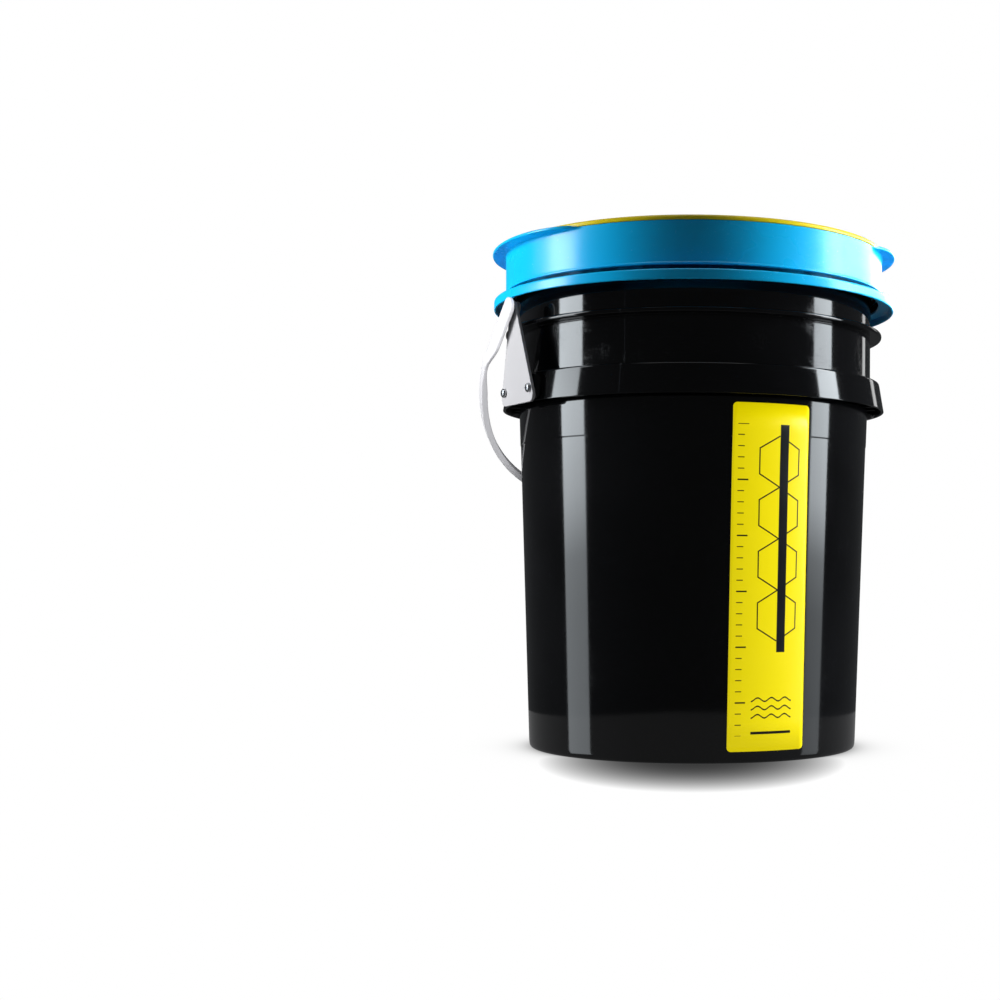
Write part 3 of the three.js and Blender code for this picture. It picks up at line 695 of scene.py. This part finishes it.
def pail():
    """Shell with its collar, rib and rim, and a boss behind each ear."""
    shell = turned("pail", pail_outside() + pail_neck() + pail_inside(), AROUND, sharp_deg=50)
    for azimuth in azimuths(2, EAR_AZIMUTH):
        boolean(shell, ear_boss(azimuth), "UNION")
    return large_faces_lead(shell)


def ear_boss(azimuth):
    """Boss on the collar behind an ear plate, hollow underneath."""
    half = EAR_HALF_W - 3
    face = EAR_D - 0.5
    low, high = COLLAR_Z[0] + 1.6, COLLAR_Z[1] - 2
    boss = bevel(beam("ear_boss", half, NECK_R + 6, face, low, high), 1.2)
    boolean(boss, beam("ear_hollow", half - 11, NECK_R, face - 4.5, low - 2, high - 5))
    return place(boss, azimuth)


def collar_gussets():
    """Thin webs that stiffen the collar from underneath, except behind the ears."""
    low, high = COLLAR_Z[0] + 2.5, COLLAR_Z[1] - 3.4
    webs = []
    for azimuth in azimuths(36, EAR_AZIMUTH + 15):
        if abs((azimuth - EAR_AZIMUTH + 90) % 180 - 90) > 12:
            web = beam("gusset", 0.8, BODY_TOP_R - 0.6, COLLAR_R[1] - 2.6, low, high)
            webs.append(place(web, azimuth))
    return join("collar_gussets", webs)


def label_sheet():
    """Rounded sheet laid round the pail's body."""
    w, r = LABEL_W / 2, 3.0
    low, high = LABEL_Z
    outline = (arc(w - r, low + r, r, -90, 0) + arc(w - r, high - r, r, 0, 90)
               + arc(-w + r, high - r, r, 90, 180) + arc(-w + r, low + r, r, 180, 270))
    bm = bmesh.new()
    bm.faces.new([bm.verts.new((x, z, 0)) for x, z in outline])
    slice_evenly(bm, (1, 0, 0), -w, w, 32)
    slice_evenly(bm, (0, 1, 0), low, high, 12)
    for vert in bm.verts:
        x, z = vert.co.x, vert.co.y
        radius = body_radius(z) + (BODY_STEP if z > BODY_STEP_Z else 0) + 0.06
        azimuth = LABEL_AZIMUTH + math.degrees(math.asin(max(-1, min(1, x / radius))))
        x, y = at_azimuth(radius, azimuth)
        vert.co = (x * MM, y * MM, z * MM)
    obj = from_bmesh("label_sheet", bm)
    solidify = obj.modifiers.new("thickness", "SOLIDIFY")
    solidify.thickness = 0.3 * MM
    solidify.offset = 1.0
    return apply_modifiers(obj)


# ---- ears and bail -------------------------------------------------------------
def ear_matrix():
    """From the flat plate, outline in XY and thickness along Z, to its leaning place at the front."""
    lift = Matrix.Rotation(math.radians(90), 4, "X")
    lean = Matrix.Rotation(math.radians(EAR_LEAN), 4, "X")
    return Matrix.Translation((0, -EAR_D * MM, EAR_FOOT_Z * MM)) @ lean @ lift


def ear_plate(side, azimuth):
    """Triangular plate with round corners, its narrow end at the pivot."""
    rise = PIVOT_Z - EAR_FOOT_Z
    corner = 6
    slant = math.degrees(math.atan2(EAR_HALF_W - EAR_TIP_R, rise - 14))
    outline = (arc(EAR_HALF_W - corner, corner, corner, -90, slant, 14)
               + arc(0, rise, EAR_TIP_R, slant, 180 - slant, 20)
               + arc(-EAR_HALF_W + corner, corner, corner, 180 - slant, 270, 14))
    plate = prism(f"ear_plate_{side}", outline, 0, EAR_T)
    bevel(plate, 0.55, 3)
    return place(plate, azimuth, ear_matrix())


def screw(name, head_r, head_t, shank_r, length):
    """Button-head screw along +Z with its head's underside at zero, and a hexagon socket."""
    socket_r = 1.35
    body = turned(name, [
        (0, -length), (shank_r - 0.4, -length, 0.2), (shank_r, -length + 0.8), (shank_r, 0, 0.1),
        (head_r, 0, 0.2), (head_r, head_t * 0.35, head_t * 0.3),
        (head_r * 0.72, head_t * 0.9, head_t * 0.4), (0, head_t),
    ], AROUND_SCREW, steps=5)
    hexagon = arc(0, 0, socket_r, 0, 300, 5)
    boolean(body, prism("socket", hexagon, head_t * 0.35, head_t + 1))
    return bevel(body, 0.12, 2, 45)


def ear_screw(name, x, azimuth):
    lean = math.tan(math.radians(EAR_LEAN)) * (EAR_SCREW_Z - EAR_FOOT_Z)
    face = EAR_D + EAR_T + lean + GAP
    move = Matrix.Translation((x * MM, -face * MM, EAR_SCREW_Z * MM))
    tip = Matrix.Rotation(math.radians(90), 4, "X")
    return place(screw(name, 3.5, 2.2, 1.9, 9), azimuth, move @ tip)


def bail_half(steps=160):
    """Half of the loop's middle line as (distance from the pail's axis, reach from the pivots)."""
    points = [(BAIL_D, BAIL_STRAIGHT * k / 40) for k in range(40)]
    reach, distance = BAIL_CONTROLS
    ends = [(BAIL_D, BAIL_STRAIGHT), (BAIL_D, reach), (distance, BAIL_REACH), (0, BAIL_REACH)]
    for k in range(steps + 1):
        t = k / steps
        weights = ((1 - t) ** 3, 3 * t * (1 - t) ** 2, 3 * t * t * (1 - t), t ** 3)
        points.append(tuple(sum(w * p[i] for w, p in zip(weights, ends)) for i in (0, 1)))
    return points


def strap_edges(reach):
    """Lower and upper edge across the loop: a wide tab, a round shoulder, then the plain strap."""
    half = BAIL_TAB_W / 2
    narrow = half - BAIL_W
    blend = smoothstep((reach - BAIL_TAB_LENGTH + 16) / 28)
    return -half + (narrow + half) * blend, half


def strap_section(reach):
    """Cross-section of the strap as (across, outwards), swollen on its inner side past the tabs."""
    low, high = strap_edges(reach)
    t = BAIL_T / 2
    inner = -t - STRAP_SWELL * smoothstep((reach - 60) / 25)
    return fillet([(high, t, 1.2), (low, t, 1.2), (low, inner, 1.2), (high, inner, 1.2)], 5)


def strap_sweep(line):
    """Sweeps the strap's section along (distance, reach) points of its middle line."""
    bm = bmesh.new()
    rows = []
    for i, (distance, reach) in enumerate(line):
        before, after = Vector(line[max(i - 1, 0)]), Vector(line[min(i + 1, len(line) - 1)])
        tangent = (after - before).normalized()
        outward = Vector((tangent.y, -tangent.x))
        if outward.dot(Vector((distance, reach - 60))) < 0:
            outward = -outward
        rows.append([
            bm.verts.new(((-reach - outward.y * out) * MM, (distance + outward.x * out) * MM, across * MM))
            for across, out in strap_section(reach)])
    skin_rows(bm, rows)
    return from_bmesh("bail_strap", bm, 60)


def bail():
    """One loop from pivot to pivot, with a round eye at each end, hanging down at the back."""
    half = bail_half()
    strap = strap_sweep(half + [(-d, l) for d, l in reversed(half[:-1])])
    r, t = BAIL_TAB_W / 2, BAIL_T / 2
    for side in (-1, 1):
        eye = turned("eye", [(0, -t), (r, -t, 1.0), (r, t, 1.0), (0, t)], 64, steps=5)
        move = Matrix.Translation((0, side * BAIL_D * MM, 0))
        place(eye, 0, move @ Matrix.Rotation(math.radians(90), 4, "X"))
        boolean(strap, eye, "UNION")
    tip = Matrix.Rotation(math.radians(-BAIL_DIP), 4, "Y")
    return place(strap, EAR_AZIMUTH, Matrix.Translation((0, 0, PIVOT_Z * MM)) @ tip)


# ---- splash guard --------------------------------------------------------------
def lip_weight(azimuth):
    """0 to 1: how far the finger lip stands out at an azimuth."""
    away = min(abs((azimuth - middle + 180) % 360 - 180) for middle in (LIP_AZIMUTH, LIP_AZIMUTH + 180))
    part = away / LIP_HALF_SPAN
    return 1 - part ** 6 if part < 1 else 0.0


def guard_outside():
    """Skirt, the recess over it and the wall, up to just below the lips."""
    return fillet([
        (SKIRT_R - 1.7, HEM_Z, 0.4), (SKIRT_R, HEM_Z, 0.8), (SKIRT_R, DECK_Z, 1.6),
        (GUARD_R - 1.7, DECK_Z, 0.5), (GUARD_R - 1.7, STEP_Z, 0.4), (GUARD_R + 0.5, STEP_Z, 0.5),
        (GUARD_R + 0.5, STEP_Z + 1.1, 0.5), (GUARD_R, STEP_Z + 1.7, 0.4), (GUARD_R, GUARD_WALL_TOP - 8),
    ], 5)


def guard_inside():
    """From the wall's top down past the shelf to the skirt's hem."""
    inner = GUARD_R - GUARD_WALL
    top = GUARD_WALL_TOP
    return fillet([
        (GUARD_R - 0.6, top, 0.0), (inner, top, 0.5), (inner, SHELF_Z[1], 0.6),
        (SHELF_IN_R, SHELF_Z[1], 0.4), (SHELF_IN_R, SHELF_Z[0], 0.4),
        (inner, SHELF_Z[0], 0.6), (inner, DECK_Z - SKIN, 0.6),
        (SKIRT_R - SKIN, DECK_Z - SKIN, 1.0), (SKIRT_R - SKIN, HEM_Z + 0.8, 0.4),
    ], 4)


def guard_lip():
    """Full lip as radius and height, and the height of the same point where there is no lip."""
    low, high = LIP_Z
    edge, seat, top = LIP_R, RING_OUT_R + 0.35, GUARD_WALL_TOP
    return [
        (GUARD_R, low - 3.2, top - 3.2), (GUARD_R + 0.1, low - 1.6, top - 2.4),
        (GUARD_R + 0.5, low - 0.7, top - 1.8), (GUARD_R + 1.4, low - 0.15, top - 1.4),
        (edge - 2.5, low + 0.1, top - 1.1), (edge - 0.8, low + 0.15, top - 0.9),
        (edge - 0.2, low + 0.5, top - 0.75), (edge, low + 1.1, top - 0.6),
        (edge - 0.15, high - 0.5, top - 0.45), (edge - 0.7, high - 0.08, top - 0.3),
        (edge - 1.6, high, top - 0.2), (seat + 1.0, high - 0.3, top - 0.1),
        (seat + 0.3, high - 0.5, top - 0.05), (seat, high - 0.9, top - 0.02), (seat - 0.4, top, top),
    ]


def splash_guard():
    """Skirt, wall and lips in one sweep; the lips grow out of the wall's top edge."""
    outside, lip = guard_outside(), guard_lip()
    plain = [(GUARD_R, plain_z) for _, _, plain_z in lip]
    profile = outside + plain + guard_inside()

    def shape(i, azimuth):
        if not 0 <= i - len(outside) < len(lip):
            return 0.0, 0.0
        weight = lip_weight(azimuth)
        radius, height, plain_z = lip[i - len(outside)]
        return (radius - GUARD_R) * weight, (height - plain_z) * min(1.0, 3 * weight)

    bm = bmesh.new()
    spin(bm, profile + [profile[0]], AROUND, shape)
    return large_faces_lead(from_bmesh("guard_ring", bm, 50))


def inner_baffle():
    """Funnel with twelve posts under the ring; every other one is a screw boss."""
    flange_low = SHELF_Z[1] + GAP
    flange_high = flange_low + SKIN
    flange_r = GUARD_R - GUARD_WALL - GAP
    inside_r = BAFFLE_TOP_R - SKIN
    funnel = turned("funnel", [
        (BAFFLE_FOOT_R, BAFFLE_FOOT_Z, 0.6), (BAFFLE_TOP_R, SHELF_Z[0], 0.6),
        (BAFFLE_TOP_R, flange_low, 0.3), (flange_r, flange_low, 0.4),
        (flange_r, flange_high, 0.4), (inside_r, flange_high, 1.0),
        (inside_r, SHELF_Z[0], 0.6), (BAFFLE_FOOT_R - SKIN, BAFFLE_FOOT_Z, 0.6),
    ], AROUND, closed=True)
    low, high = flange_low + 0.5, RING_LOW - GAP
    for i, azimuth in enumerate(azimuths(12, SCREW_AZIMUTH)):
        bossed = i % 2 == 0
        half, back = (3.2, SCREW_R) if bossed else (2.0, flange_r - 1)
        post = bevel(beam("post", half, BAFFLE_TOP_R - 2, back, low, high), 0.5, 2)
        boolean(funnel, place(post, azimuth), "UNION")
        if bossed:
            centres = [at_azimuth(SCREW_R, azimuth)]
            boolean(funnel, cylinder_bundle("boss", centres, 4.8, low, high, 28), "UNION")
    return funnel


def splash_ring():
    """Flat ring with raised edges and six screw holes."""
    low, high = RING_LOW, RING_TOP
    field = high - 1.0
    ring = turned("ring_top", [
        (RING_IN_R, low, 0.4), (RING_OUT_R, low, 0.6), (RING_OUT_R, high - 1.2, 1.2),
        (RING_OUT_R - 1.8, high, 1.2),
        (RING_OUT_R - 3.6, high, 0.8), (RING_OUT_R - 4.6, field, 0.6), (RING_IN_R + 4.6, field, 0.6),
        (RING_IN_R + 3.6, high, 0.8), (RING_IN_R + 1.8, high, 1.2), (RING_IN_R, high - 1.4, 1.2),
    ], AROUND, closed=True, steps=5, sharp_deg=60)
    centres = [at_azimuth(SCREW_R, azimuth) for azimuth in azimuths(6, SCREW_AZIMUTH)]
    return boolean(ring, cylinder_bundle("ring_holes", centres, 2.2, low - 1, high + 1))


# ---- wash plate ----------------------------------------------------------------
def dome_height(r):
    """Height of the wash plate's top face, level inside its crown and steeper towards its edge."""
    part = (max(r, CROWN_R) - CROWN_R) / (PLATE_R - CROWN_R)
    return PLATE_EDGE_Z + (PLATE_CROWN_Z - PLATE_EDGE_Z) * (1 - part ** 2.2)


def flute_height(r, azimuth):
    """Rounded ribs that start thin beside the dispenser and widen towards the edge."""
    start, end, height = 29, 103, 2.0
    if r < start or r > end:
        return 0.0
    pitch = 360 / FLUTES
    offset = (azimuth - FLUTE_AZIMUTH + pitch / 2) % pitch - pitch / 2
    along = (r - start) / (end - start)
    half = 1.6 + 7.0 * along
    across = abs(math.radians(offset) * r) / half
    if across >= 1:
        return 0.0
    rise = min(1.0, along / 0.10) * min(1.0, (1 - along) / 0.28) ** 0.7
    return height * rise * (1 - across ** 2) ** 1.3


def wash_plate():
    """Fluted dome on a hub, with the dispenser's recess in its crown."""
    hub_r, bore_r, socket_r = 22, 9, TUBE_R + GAP
    socket_z = TUBE_TOP_Z + GAP
    radii = [CROWN_R + (PLATE_R - CROWN_R) * k / 90 for k in range(91)]
    recess = [
        (DISPENSER_R + GAP, RECESS_Z), (DISPENSER_R + GAP, PLATE_CROWN_Z - 1.0),
        (DISPENSER_R + 0.8, PLATE_CROWN_Z - 0.25), (DISPENSER_R + 1.6, PLATE_CROWN_Z),
    ]
    dome = [(r, dome_height(r)) for r in radii]
    rim = fillet([
        (PLATE_R + 0.55, PLATE_EDGE_Z - 1.2, 0.8), (PLATE_R + 0.6, PLATE_EDGE_Z - 8, 0.8),
        (PLATE_R - 1.8, PLATE_EDGE_Z - 8, 0.8), (PLATE_R - 2.4, PLATE_EDGE_Z - 3, 1.0),
    ], 4)
    under = [(r - 0.6, dome_height(r) - PLATE_T) for r in reversed(radii[6:-4:6])]
    hub = fillet([
        (CROWN_R + 1, PLATE_CROWN_Z - PLATE_T - 2, 1), (hub_r, PLATE_CROWN_Z - PLATE_T - 4, 1),
        (hub_r, HUB_FOOT_Z, 0.8), (socket_r, HUB_FOOT_Z, 0.5), (socket_r, socket_z, 0.4),
        (bore_r, socket_z, 0.3), (bore_r, RECESS_Z, 0.3),
    ], 4)
    profile = recess + dome + rim + under + hub

    def shape(i, azimuth):
        if not 0 <= i - len(recess) < len(dome):
            return 0.0, 0.0
        return 0.0, flute_height(profile[i][0], azimuth)

    bm = bmesh.new()
    spin(bm, profile + [profile[0]], 720, shape)
    return from_bmesh("wash_dome", bm, 45)


def dispenser():
    """Perforated cap with a raised edge; its outer holes are in twelve pairs."""
    r, top = DISPENSER_R, DISPENSER_TOP
    cap = turned("dispenser_disc", [
        (0, top - 2.8), (r - 3, top - 2.8, 0.3), (r - 3, RECESS_Z + 1.9, 0.2),
        (r - 0.4, RECESS_Z + 1.9, 0.3),
        (r - 0.4, PLATE_CROWN_Z + 0.3, 0.1), (r, PLATE_CROWN_Z + 0.5, 0.1), (r, top - 0.2, 0.7),
        (r - 0.8, top, 0.5), (r - 2.0, top, 0.4), (r - 2.6, top - 0.6, 0.4), (0, top - 0.6),
    ], 128)
    rows = [(0, 1, 0), (8, 6, 30), (12.6, 12, 0)]
    centres = [at_azimuth(radius, a) for radius, count, first in rows for a in azimuths(count, first)]
    centres += [at_azimuth(18.6, a + side) for a in azimuths(12) for side in (-6.2, 6.2)]
    return boolean(cap, cylinder_bundle("holes", centres, 0.95, top - 4, top + 1, 16))


# ---- pump ----------------------------------------------------------------------
def spring():
    """Return spring as one coil with closed, flattened ends."""
    low = CAP_TOP_Z + GAP + SPRING_WIRE_R
    high = HUB_FOOT_Z - SPRING_SEAT_T - GAP - SPRING_WIRE_R
    flat_turns, per_turn, sides = 0.9, 48, 12
    rows = []
    bm = bmesh.new()
    for k in range(SPRING_TURNS * per_turn + 1):
        turn = k / per_turn
        share = min(1.0, max(0.0, (turn - flat_turns) / (SPRING_TURNS - 2 * flat_turns)))
        middle = low + (high - low) * share
        angle = turn * 2 * math.pi
        row = []
        for s in range(sides):
            a = 2 * math.pi * s / sides
            r = SPRING_R + SPRING_WIRE_R * math.cos(a)
            z = middle + SPRING_WIRE_R * math.sin(a)
            row.append(bm.verts.new((r * math.cos(angle) * MM, r * math.sin(angle) * MM, z * MM)))
        rows.append(row)
    skin_rows(bm, rows)
    return from_bmesh("spring_coil", bm)


# ---- put together --------------------------------------------------------------
finish_piece(pail(), "bucket", "black_plastic", BLACK, "bucket_shell")
finish_piece(collar_gussets(), "bucket", "black_plastic", BLACK)
finish_piece(label_sheet(), "bucket", "label_film", FILM, "label")

for side, azimuth in (("left", EAR_AZIMUTH), ("right", EAR_AZIMUTH + 180)):
    finish_piece(ear_plate(side, azimuth), "bucket", "white_plastic", WHITE, f"handle_ear_{side}")
    for end, x in (("front", EAR_SCREW_X), ("rear", -EAR_SCREW_X)):
        node = f"ear_screw_{side}_{end}"
        finish_piece(ear_screw(f"{node}_fine", x, azimuth), "bucket", "zinc_steel", ZINC, node)
STRAP = finish_piece(bail(), "handle", "white_plastic", WHITE, "handle_bail")

GUARD_PIECES = [
    finish_piece(splash_guard(), "guard", "blue_plastic", GUARD_BLUE, "splash_guard"),
    finish_piece(inner_baffle(), "guard", "blue_plastic", BLUE, "inner_baffle"),
    finish_piece(splash_ring(), "guard", "yellow_plastic", YELLOW, "splash_ring"),
]
for i, azimuth in enumerate(azimuths(6, SCREW_AZIMUTH)):
    node = f"ring_screw_{i + 1}"
    x, y = at_azimuth(SCREW_R, azimuth)
    obj = screw(f"{node}_fine", 3.6, 2.5, 1.8, 12)
    place(obj, 0, Matrix.Translation((x * MM, y * MM, (RING_TOP - 0.7) * MM)))
    finish_piece(obj, "guard", "zinc_steel", ZINC, node)

finish_piece(wash_plate(), "plunger", "blue_plastic", BLUE, "wash_plate")
finish_piece(dispenser(), "plunger", "blue_plastic", BLUE, "dispenser_cap")
coil = finish_piece(spring(), "bucket", "spring_steel", STEEL, "return_spring")
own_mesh(coil)

CARRIED = (
    (GREY, ("plunger_tube", "piston", "stop_ring", "pump_cylinder")),
    (DULL_BLACK, ("cylinder_cap", "pump_base")),
    (RUBBER, ("rim_gasket", "dispenser_seal", "piston_seal", "cap_seal")),
    (WHITE, ("handle_pivot_left", "handle_pivot_right", "outlet_valve", "inlet_valve")),
    (ZINC, ("spring_seat", "inlet_strainer", *[f"base_screw_{i}" for i in range(1, 5)])),
)
for material, names in CARRIED:
    for name in names:
        for material_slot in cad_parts[name].material_slots:
            material_slot.material = material


# ---- floor, light and camera ---------------------------------------------------
def studio_world():
    """White to the camera, dim to the object's reflections, as in a tented product shot."""
    world = bpy.data.worlds.new("studio")
    bpy.context.scene.world = world
    world.use_nodes = True
    tree = world.node_tree
    tree.nodes.clear()
    out = tree.nodes.new("ShaderNodeOutputWorld")
    seen = tree.nodes.new("ShaderNodeBackground")
    seen.inputs["Color"].default_value = rgba(1, 1, 1)
    seen.inputs["Strength"].default_value = 1.0
    lit = tree.nodes.new("ShaderNodeBackground")
    lit.inputs["Color"].default_value = rgba(0.92, 0.96, 1.0)
    lit.inputs["Strength"].default_value = 0.05
    path = tree.nodes.new("ShaderNodeLightPath")
    mix = tree.nodes.new("ShaderNodeMixShader")
    tree.links.new(path.outputs["Is Camera Ray"], mix.inputs[0])
    tree.links.new(lit.outputs[0], mix.inputs[1])
    tree.links.new(seen.outputs[0], mix.inputs[2])
    tree.links.new(mix.outputs[0], out.inputs[0])


def paper_shade(g):
    """How white the paper looks: dark under the pail, with a narrow contact shadow round its foot."""
    half_width, half_depth, middle_y = 0.114, 0.192, -0.08  # the soft shadow's ellipse
    contact_reach, contact_depth = 0.010, 0.45
    x, y, _ = g.split()

    def squared(value, size):
        part = g.math("DIVIDE", value, size)
        return g.times(part, part)

    across = squared(x, half_width)
    along = squared(g.minus(y, middle_y), half_depth)
    ellipse = g.math("MINIMUM", g.math("SQRT", g.plus(across, along)), 1.0)
    soft = g.math("MULTIPLY_ADD", g.math("POWER", ellipse, 4.0), 0.96, 0.04)
    radius = g.math("SQRT", g.plus(squared(x, 1.0), squared(y, 1.0)))
    away = g.math("DIVIDE", g.minus(BASE_R * MM, radius), contact_reach)
    near = g.times(g.math("EXPONENT", away), contact_depth)
    return g.math("MINIMUM", soft, g.math("SUBTRACT", 1.0, near, clamp=True))


def paper():
    """Pale paper; the camera sees it as plain white with the pail's shadow."""
    g = Graph("floor_paper")
    g.link(rgba(0.15, 0.15, 0.152), g.shader.inputs["Base Color"])
    g.shader.inputs["Roughness"].default_value = 0.9
    g.bump((g.noise(300, 3), 0.05))
    white = g.tree.nodes.new("ShaderNodeEmission")
    g.link(paper_shade(g), white.inputs["Strength"])
    path = g.tree.nodes.new("ShaderNodeLightPath")
    seen = g.tree.nodes.new("ShaderNodeMixShader")
    g.link(path.outputs["Is Camera Ray"], seen.inputs[0])
    g.tree.links.new(g.shader.outputs[0], seen.inputs[1])
    g.tree.links.new(white.outputs[0], seen.inputs[2])
    g.tree.links.new(seen.outputs[0], g.output.inputs[0])
    return g.material


def floor():
    bm = bmesh.new()
    bmesh.ops.create_grid(bm, x_segments=1, y_segments=1, size=6.0)
    mesh = bpy.data.meshes.new("floor")
    bm.to_mesh(mesh)
    bm.free()
    obj = new_object("floor", mesh)
    obj.data.materials.append(paper())
    obj.visible_glossy = False


def softbox(name, centre, target, width, height, power, color=(1, 1, 1)):
    """Rectangular area light at centre, facing target."""
    light = bpy.data.lights.new(name, "AREA")
    light.shape = "RECTANGLE"
    light.size, light.size_y = width, height
    light.energy = power
    light.color = color
    obj = bpy.data.objects.new(name, light)
    bpy.context.scene.collection.objects.link(obj)
    direction = Vector(target) - Vector(centre)
    turn = direction.to_track_quat("-Z", "Y").to_matrix().to_4x4()
    obj.matrix_world = Matrix.Translation(centre) @ turn
    return obj


def at_side(azimuth, distance, height):
    a = math.radians(azimuth)
    return distance * math.sin(a), -distance * math.cos(a), height


def lights_only(light, pieces):
    """Keeps a reflector's sheen to a few pieces, like a flag beside it does in a studio."""
    group = bpy.data.collections.new(light.name + "_receivers")
    for piece in pieces:
        group.objects.link(piece)
    light.light_linking.receiver_collection = group


def graded(light, stops):
    """Makes a softbox brighter towards its top: stops are (share of its height, strength)."""
    light.data.use_nodes = True
    tree = light.data.node_tree
    tree.nodes.clear()
    out = tree.nodes.new("ShaderNodeOutputLight")
    glow = tree.nodes.new("ShaderNodeEmission")
    geometry = tree.nodes.new("ShaderNodeNewGeometry")
    split = tree.nodes.new("ShaderNodeSeparateXYZ")
    ramp = tree.nodes.new("ShaderNodeValToRGB")
    ramp.color_ramp.elements[0].position = stops[0][0]
    ramp.color_ramp.elements[1].position = stops[-1][0]
    for position, _ in stops[1:-1]:
        ramp.color_ramp.elements.new(position)
    for element, (_, strength) in zip(ramp.color_ramp.elements, stops):
        element.color = rgba(strength, strength, strength)
    tree.links.new(geometry.outputs["Parametric"], split.inputs[0])
    tree.links.new(split.outputs["Y"], ramp.inputs[0])
    tree.links.new(ramp.outputs["Color"], glow.inputs["Strength"])
    tree.links.new(glow.outputs[0], out.inputs[0])


def side_strips():
    """Tall strips that the black body shows as its two highlights, brighter towards its neck."""
    low, high = -0.5, 1.9
    middle = (low + high) / 2
    left = [
        (0, 0.22), (0.2, 0.26), (0.244, 0.3), (0.29, 0.62), (0.34, 0.85), (0.44, 0.95), (0.48, 1),
        (0.6, 0.75), (0.68, 0.53), (1, 0.5),
    ]
    right = [
        (0, 0.075), (0.2, 0.114), (0.244, 0.19), (0.29, 0.5), (0.34, 0.6), (0.44, 0.65), (0.48, 0.71),
        (0.68, 1), (1, 1),
    ]
    for name, azimuth, width, power, stops in (
            ("strip_left", -81.5, 0.65, 55, left),
            ("strip_right", 87, 0.52, 56, right)):
        place_at = at_side(azimuth, 1.9, middle)
        strip = softbox(name, place_at, (0, 0, middle), width, high - low, power, (0.88, 0.95, 1))
        graded(strip, stops)
        strip.visible_diffuse = False


def rear_sheen():
    """Sheen on the guard from behind, and a faint one on the pail's right edge."""
    sheen = softbox("guard_sheen", at_side(133, 1.9, 0.83), (0, 0, 0.83), 2.6, 0.32, 18)
    sheen.visible_diffuse = False
    lights_only(sheen, GUARD_PIECES)
    rim = softbox("rim_right", at_side(139, 1.9, 0.7), (0, 0, 0.7), 0.2, 0.5, 0.6)
    rim.visible_diffuse = False


def soft_light():
    """Light that the colours show by and that no glossy face mirrors, but for the weak top one."""
    for name, azimuth, power in (("key_left", -94, 44), ("key_right", 94, 60)):
        key = softbox(name, at_side(azimuth, 1.6, 0.5), (0, 0, 0.25), 0.5, 0.9, power)
        key.visible_glossy = False
    fill = softbox("strap_fill", (0.2, -2.5, 0.1), (0, 0, 0.25), 1.0, 1.0, 170)
    fill.visible_glossy = False
    lights_only(fill, [STRAP])
    softbox("top", (0, -0.4, 2.4), (0, 0, 0.3), 1.8, 1.8, 10)


def floor_bounce():
    """The paper's own glow in the underside of the collar and skirt."""
    bounce = softbox("floor_bounce", (0, 0, -0.001), (0, 0, 1.0), 0.66, 0.75, 0.17)
    bounce.data.shape = "ELLIPSE"
    bounce.visible_diffuse = False
    bounce.visible_camera = False


def studio():
    studio_world()
    floor()
    side_strips()
    rear_sheen()
    soft_light()
    floor_bounce()


def camera():
    data = bpy.data.cameras.new("camera")
    data.sensor_width = 36
    data.lens = 56.0
    data.shift_x = -0.1926
    data.shift_y = 0.0733
    data.clip_start = 0.05
    data.clip_end = 50
    obj = bpy.data.objects.new("camera", data)
    bpy.context.scene.collection.objects.link(obj)
    obj.location = (0, -1.2414, 0.1368)
    obj.rotation_euler = (math.radians(90), math.radians(-0.25), 0)
    bpy.context.scene.camera = obj


studio()
camera()
bpy.context.scene.view_settings.view_transform = "Standard"
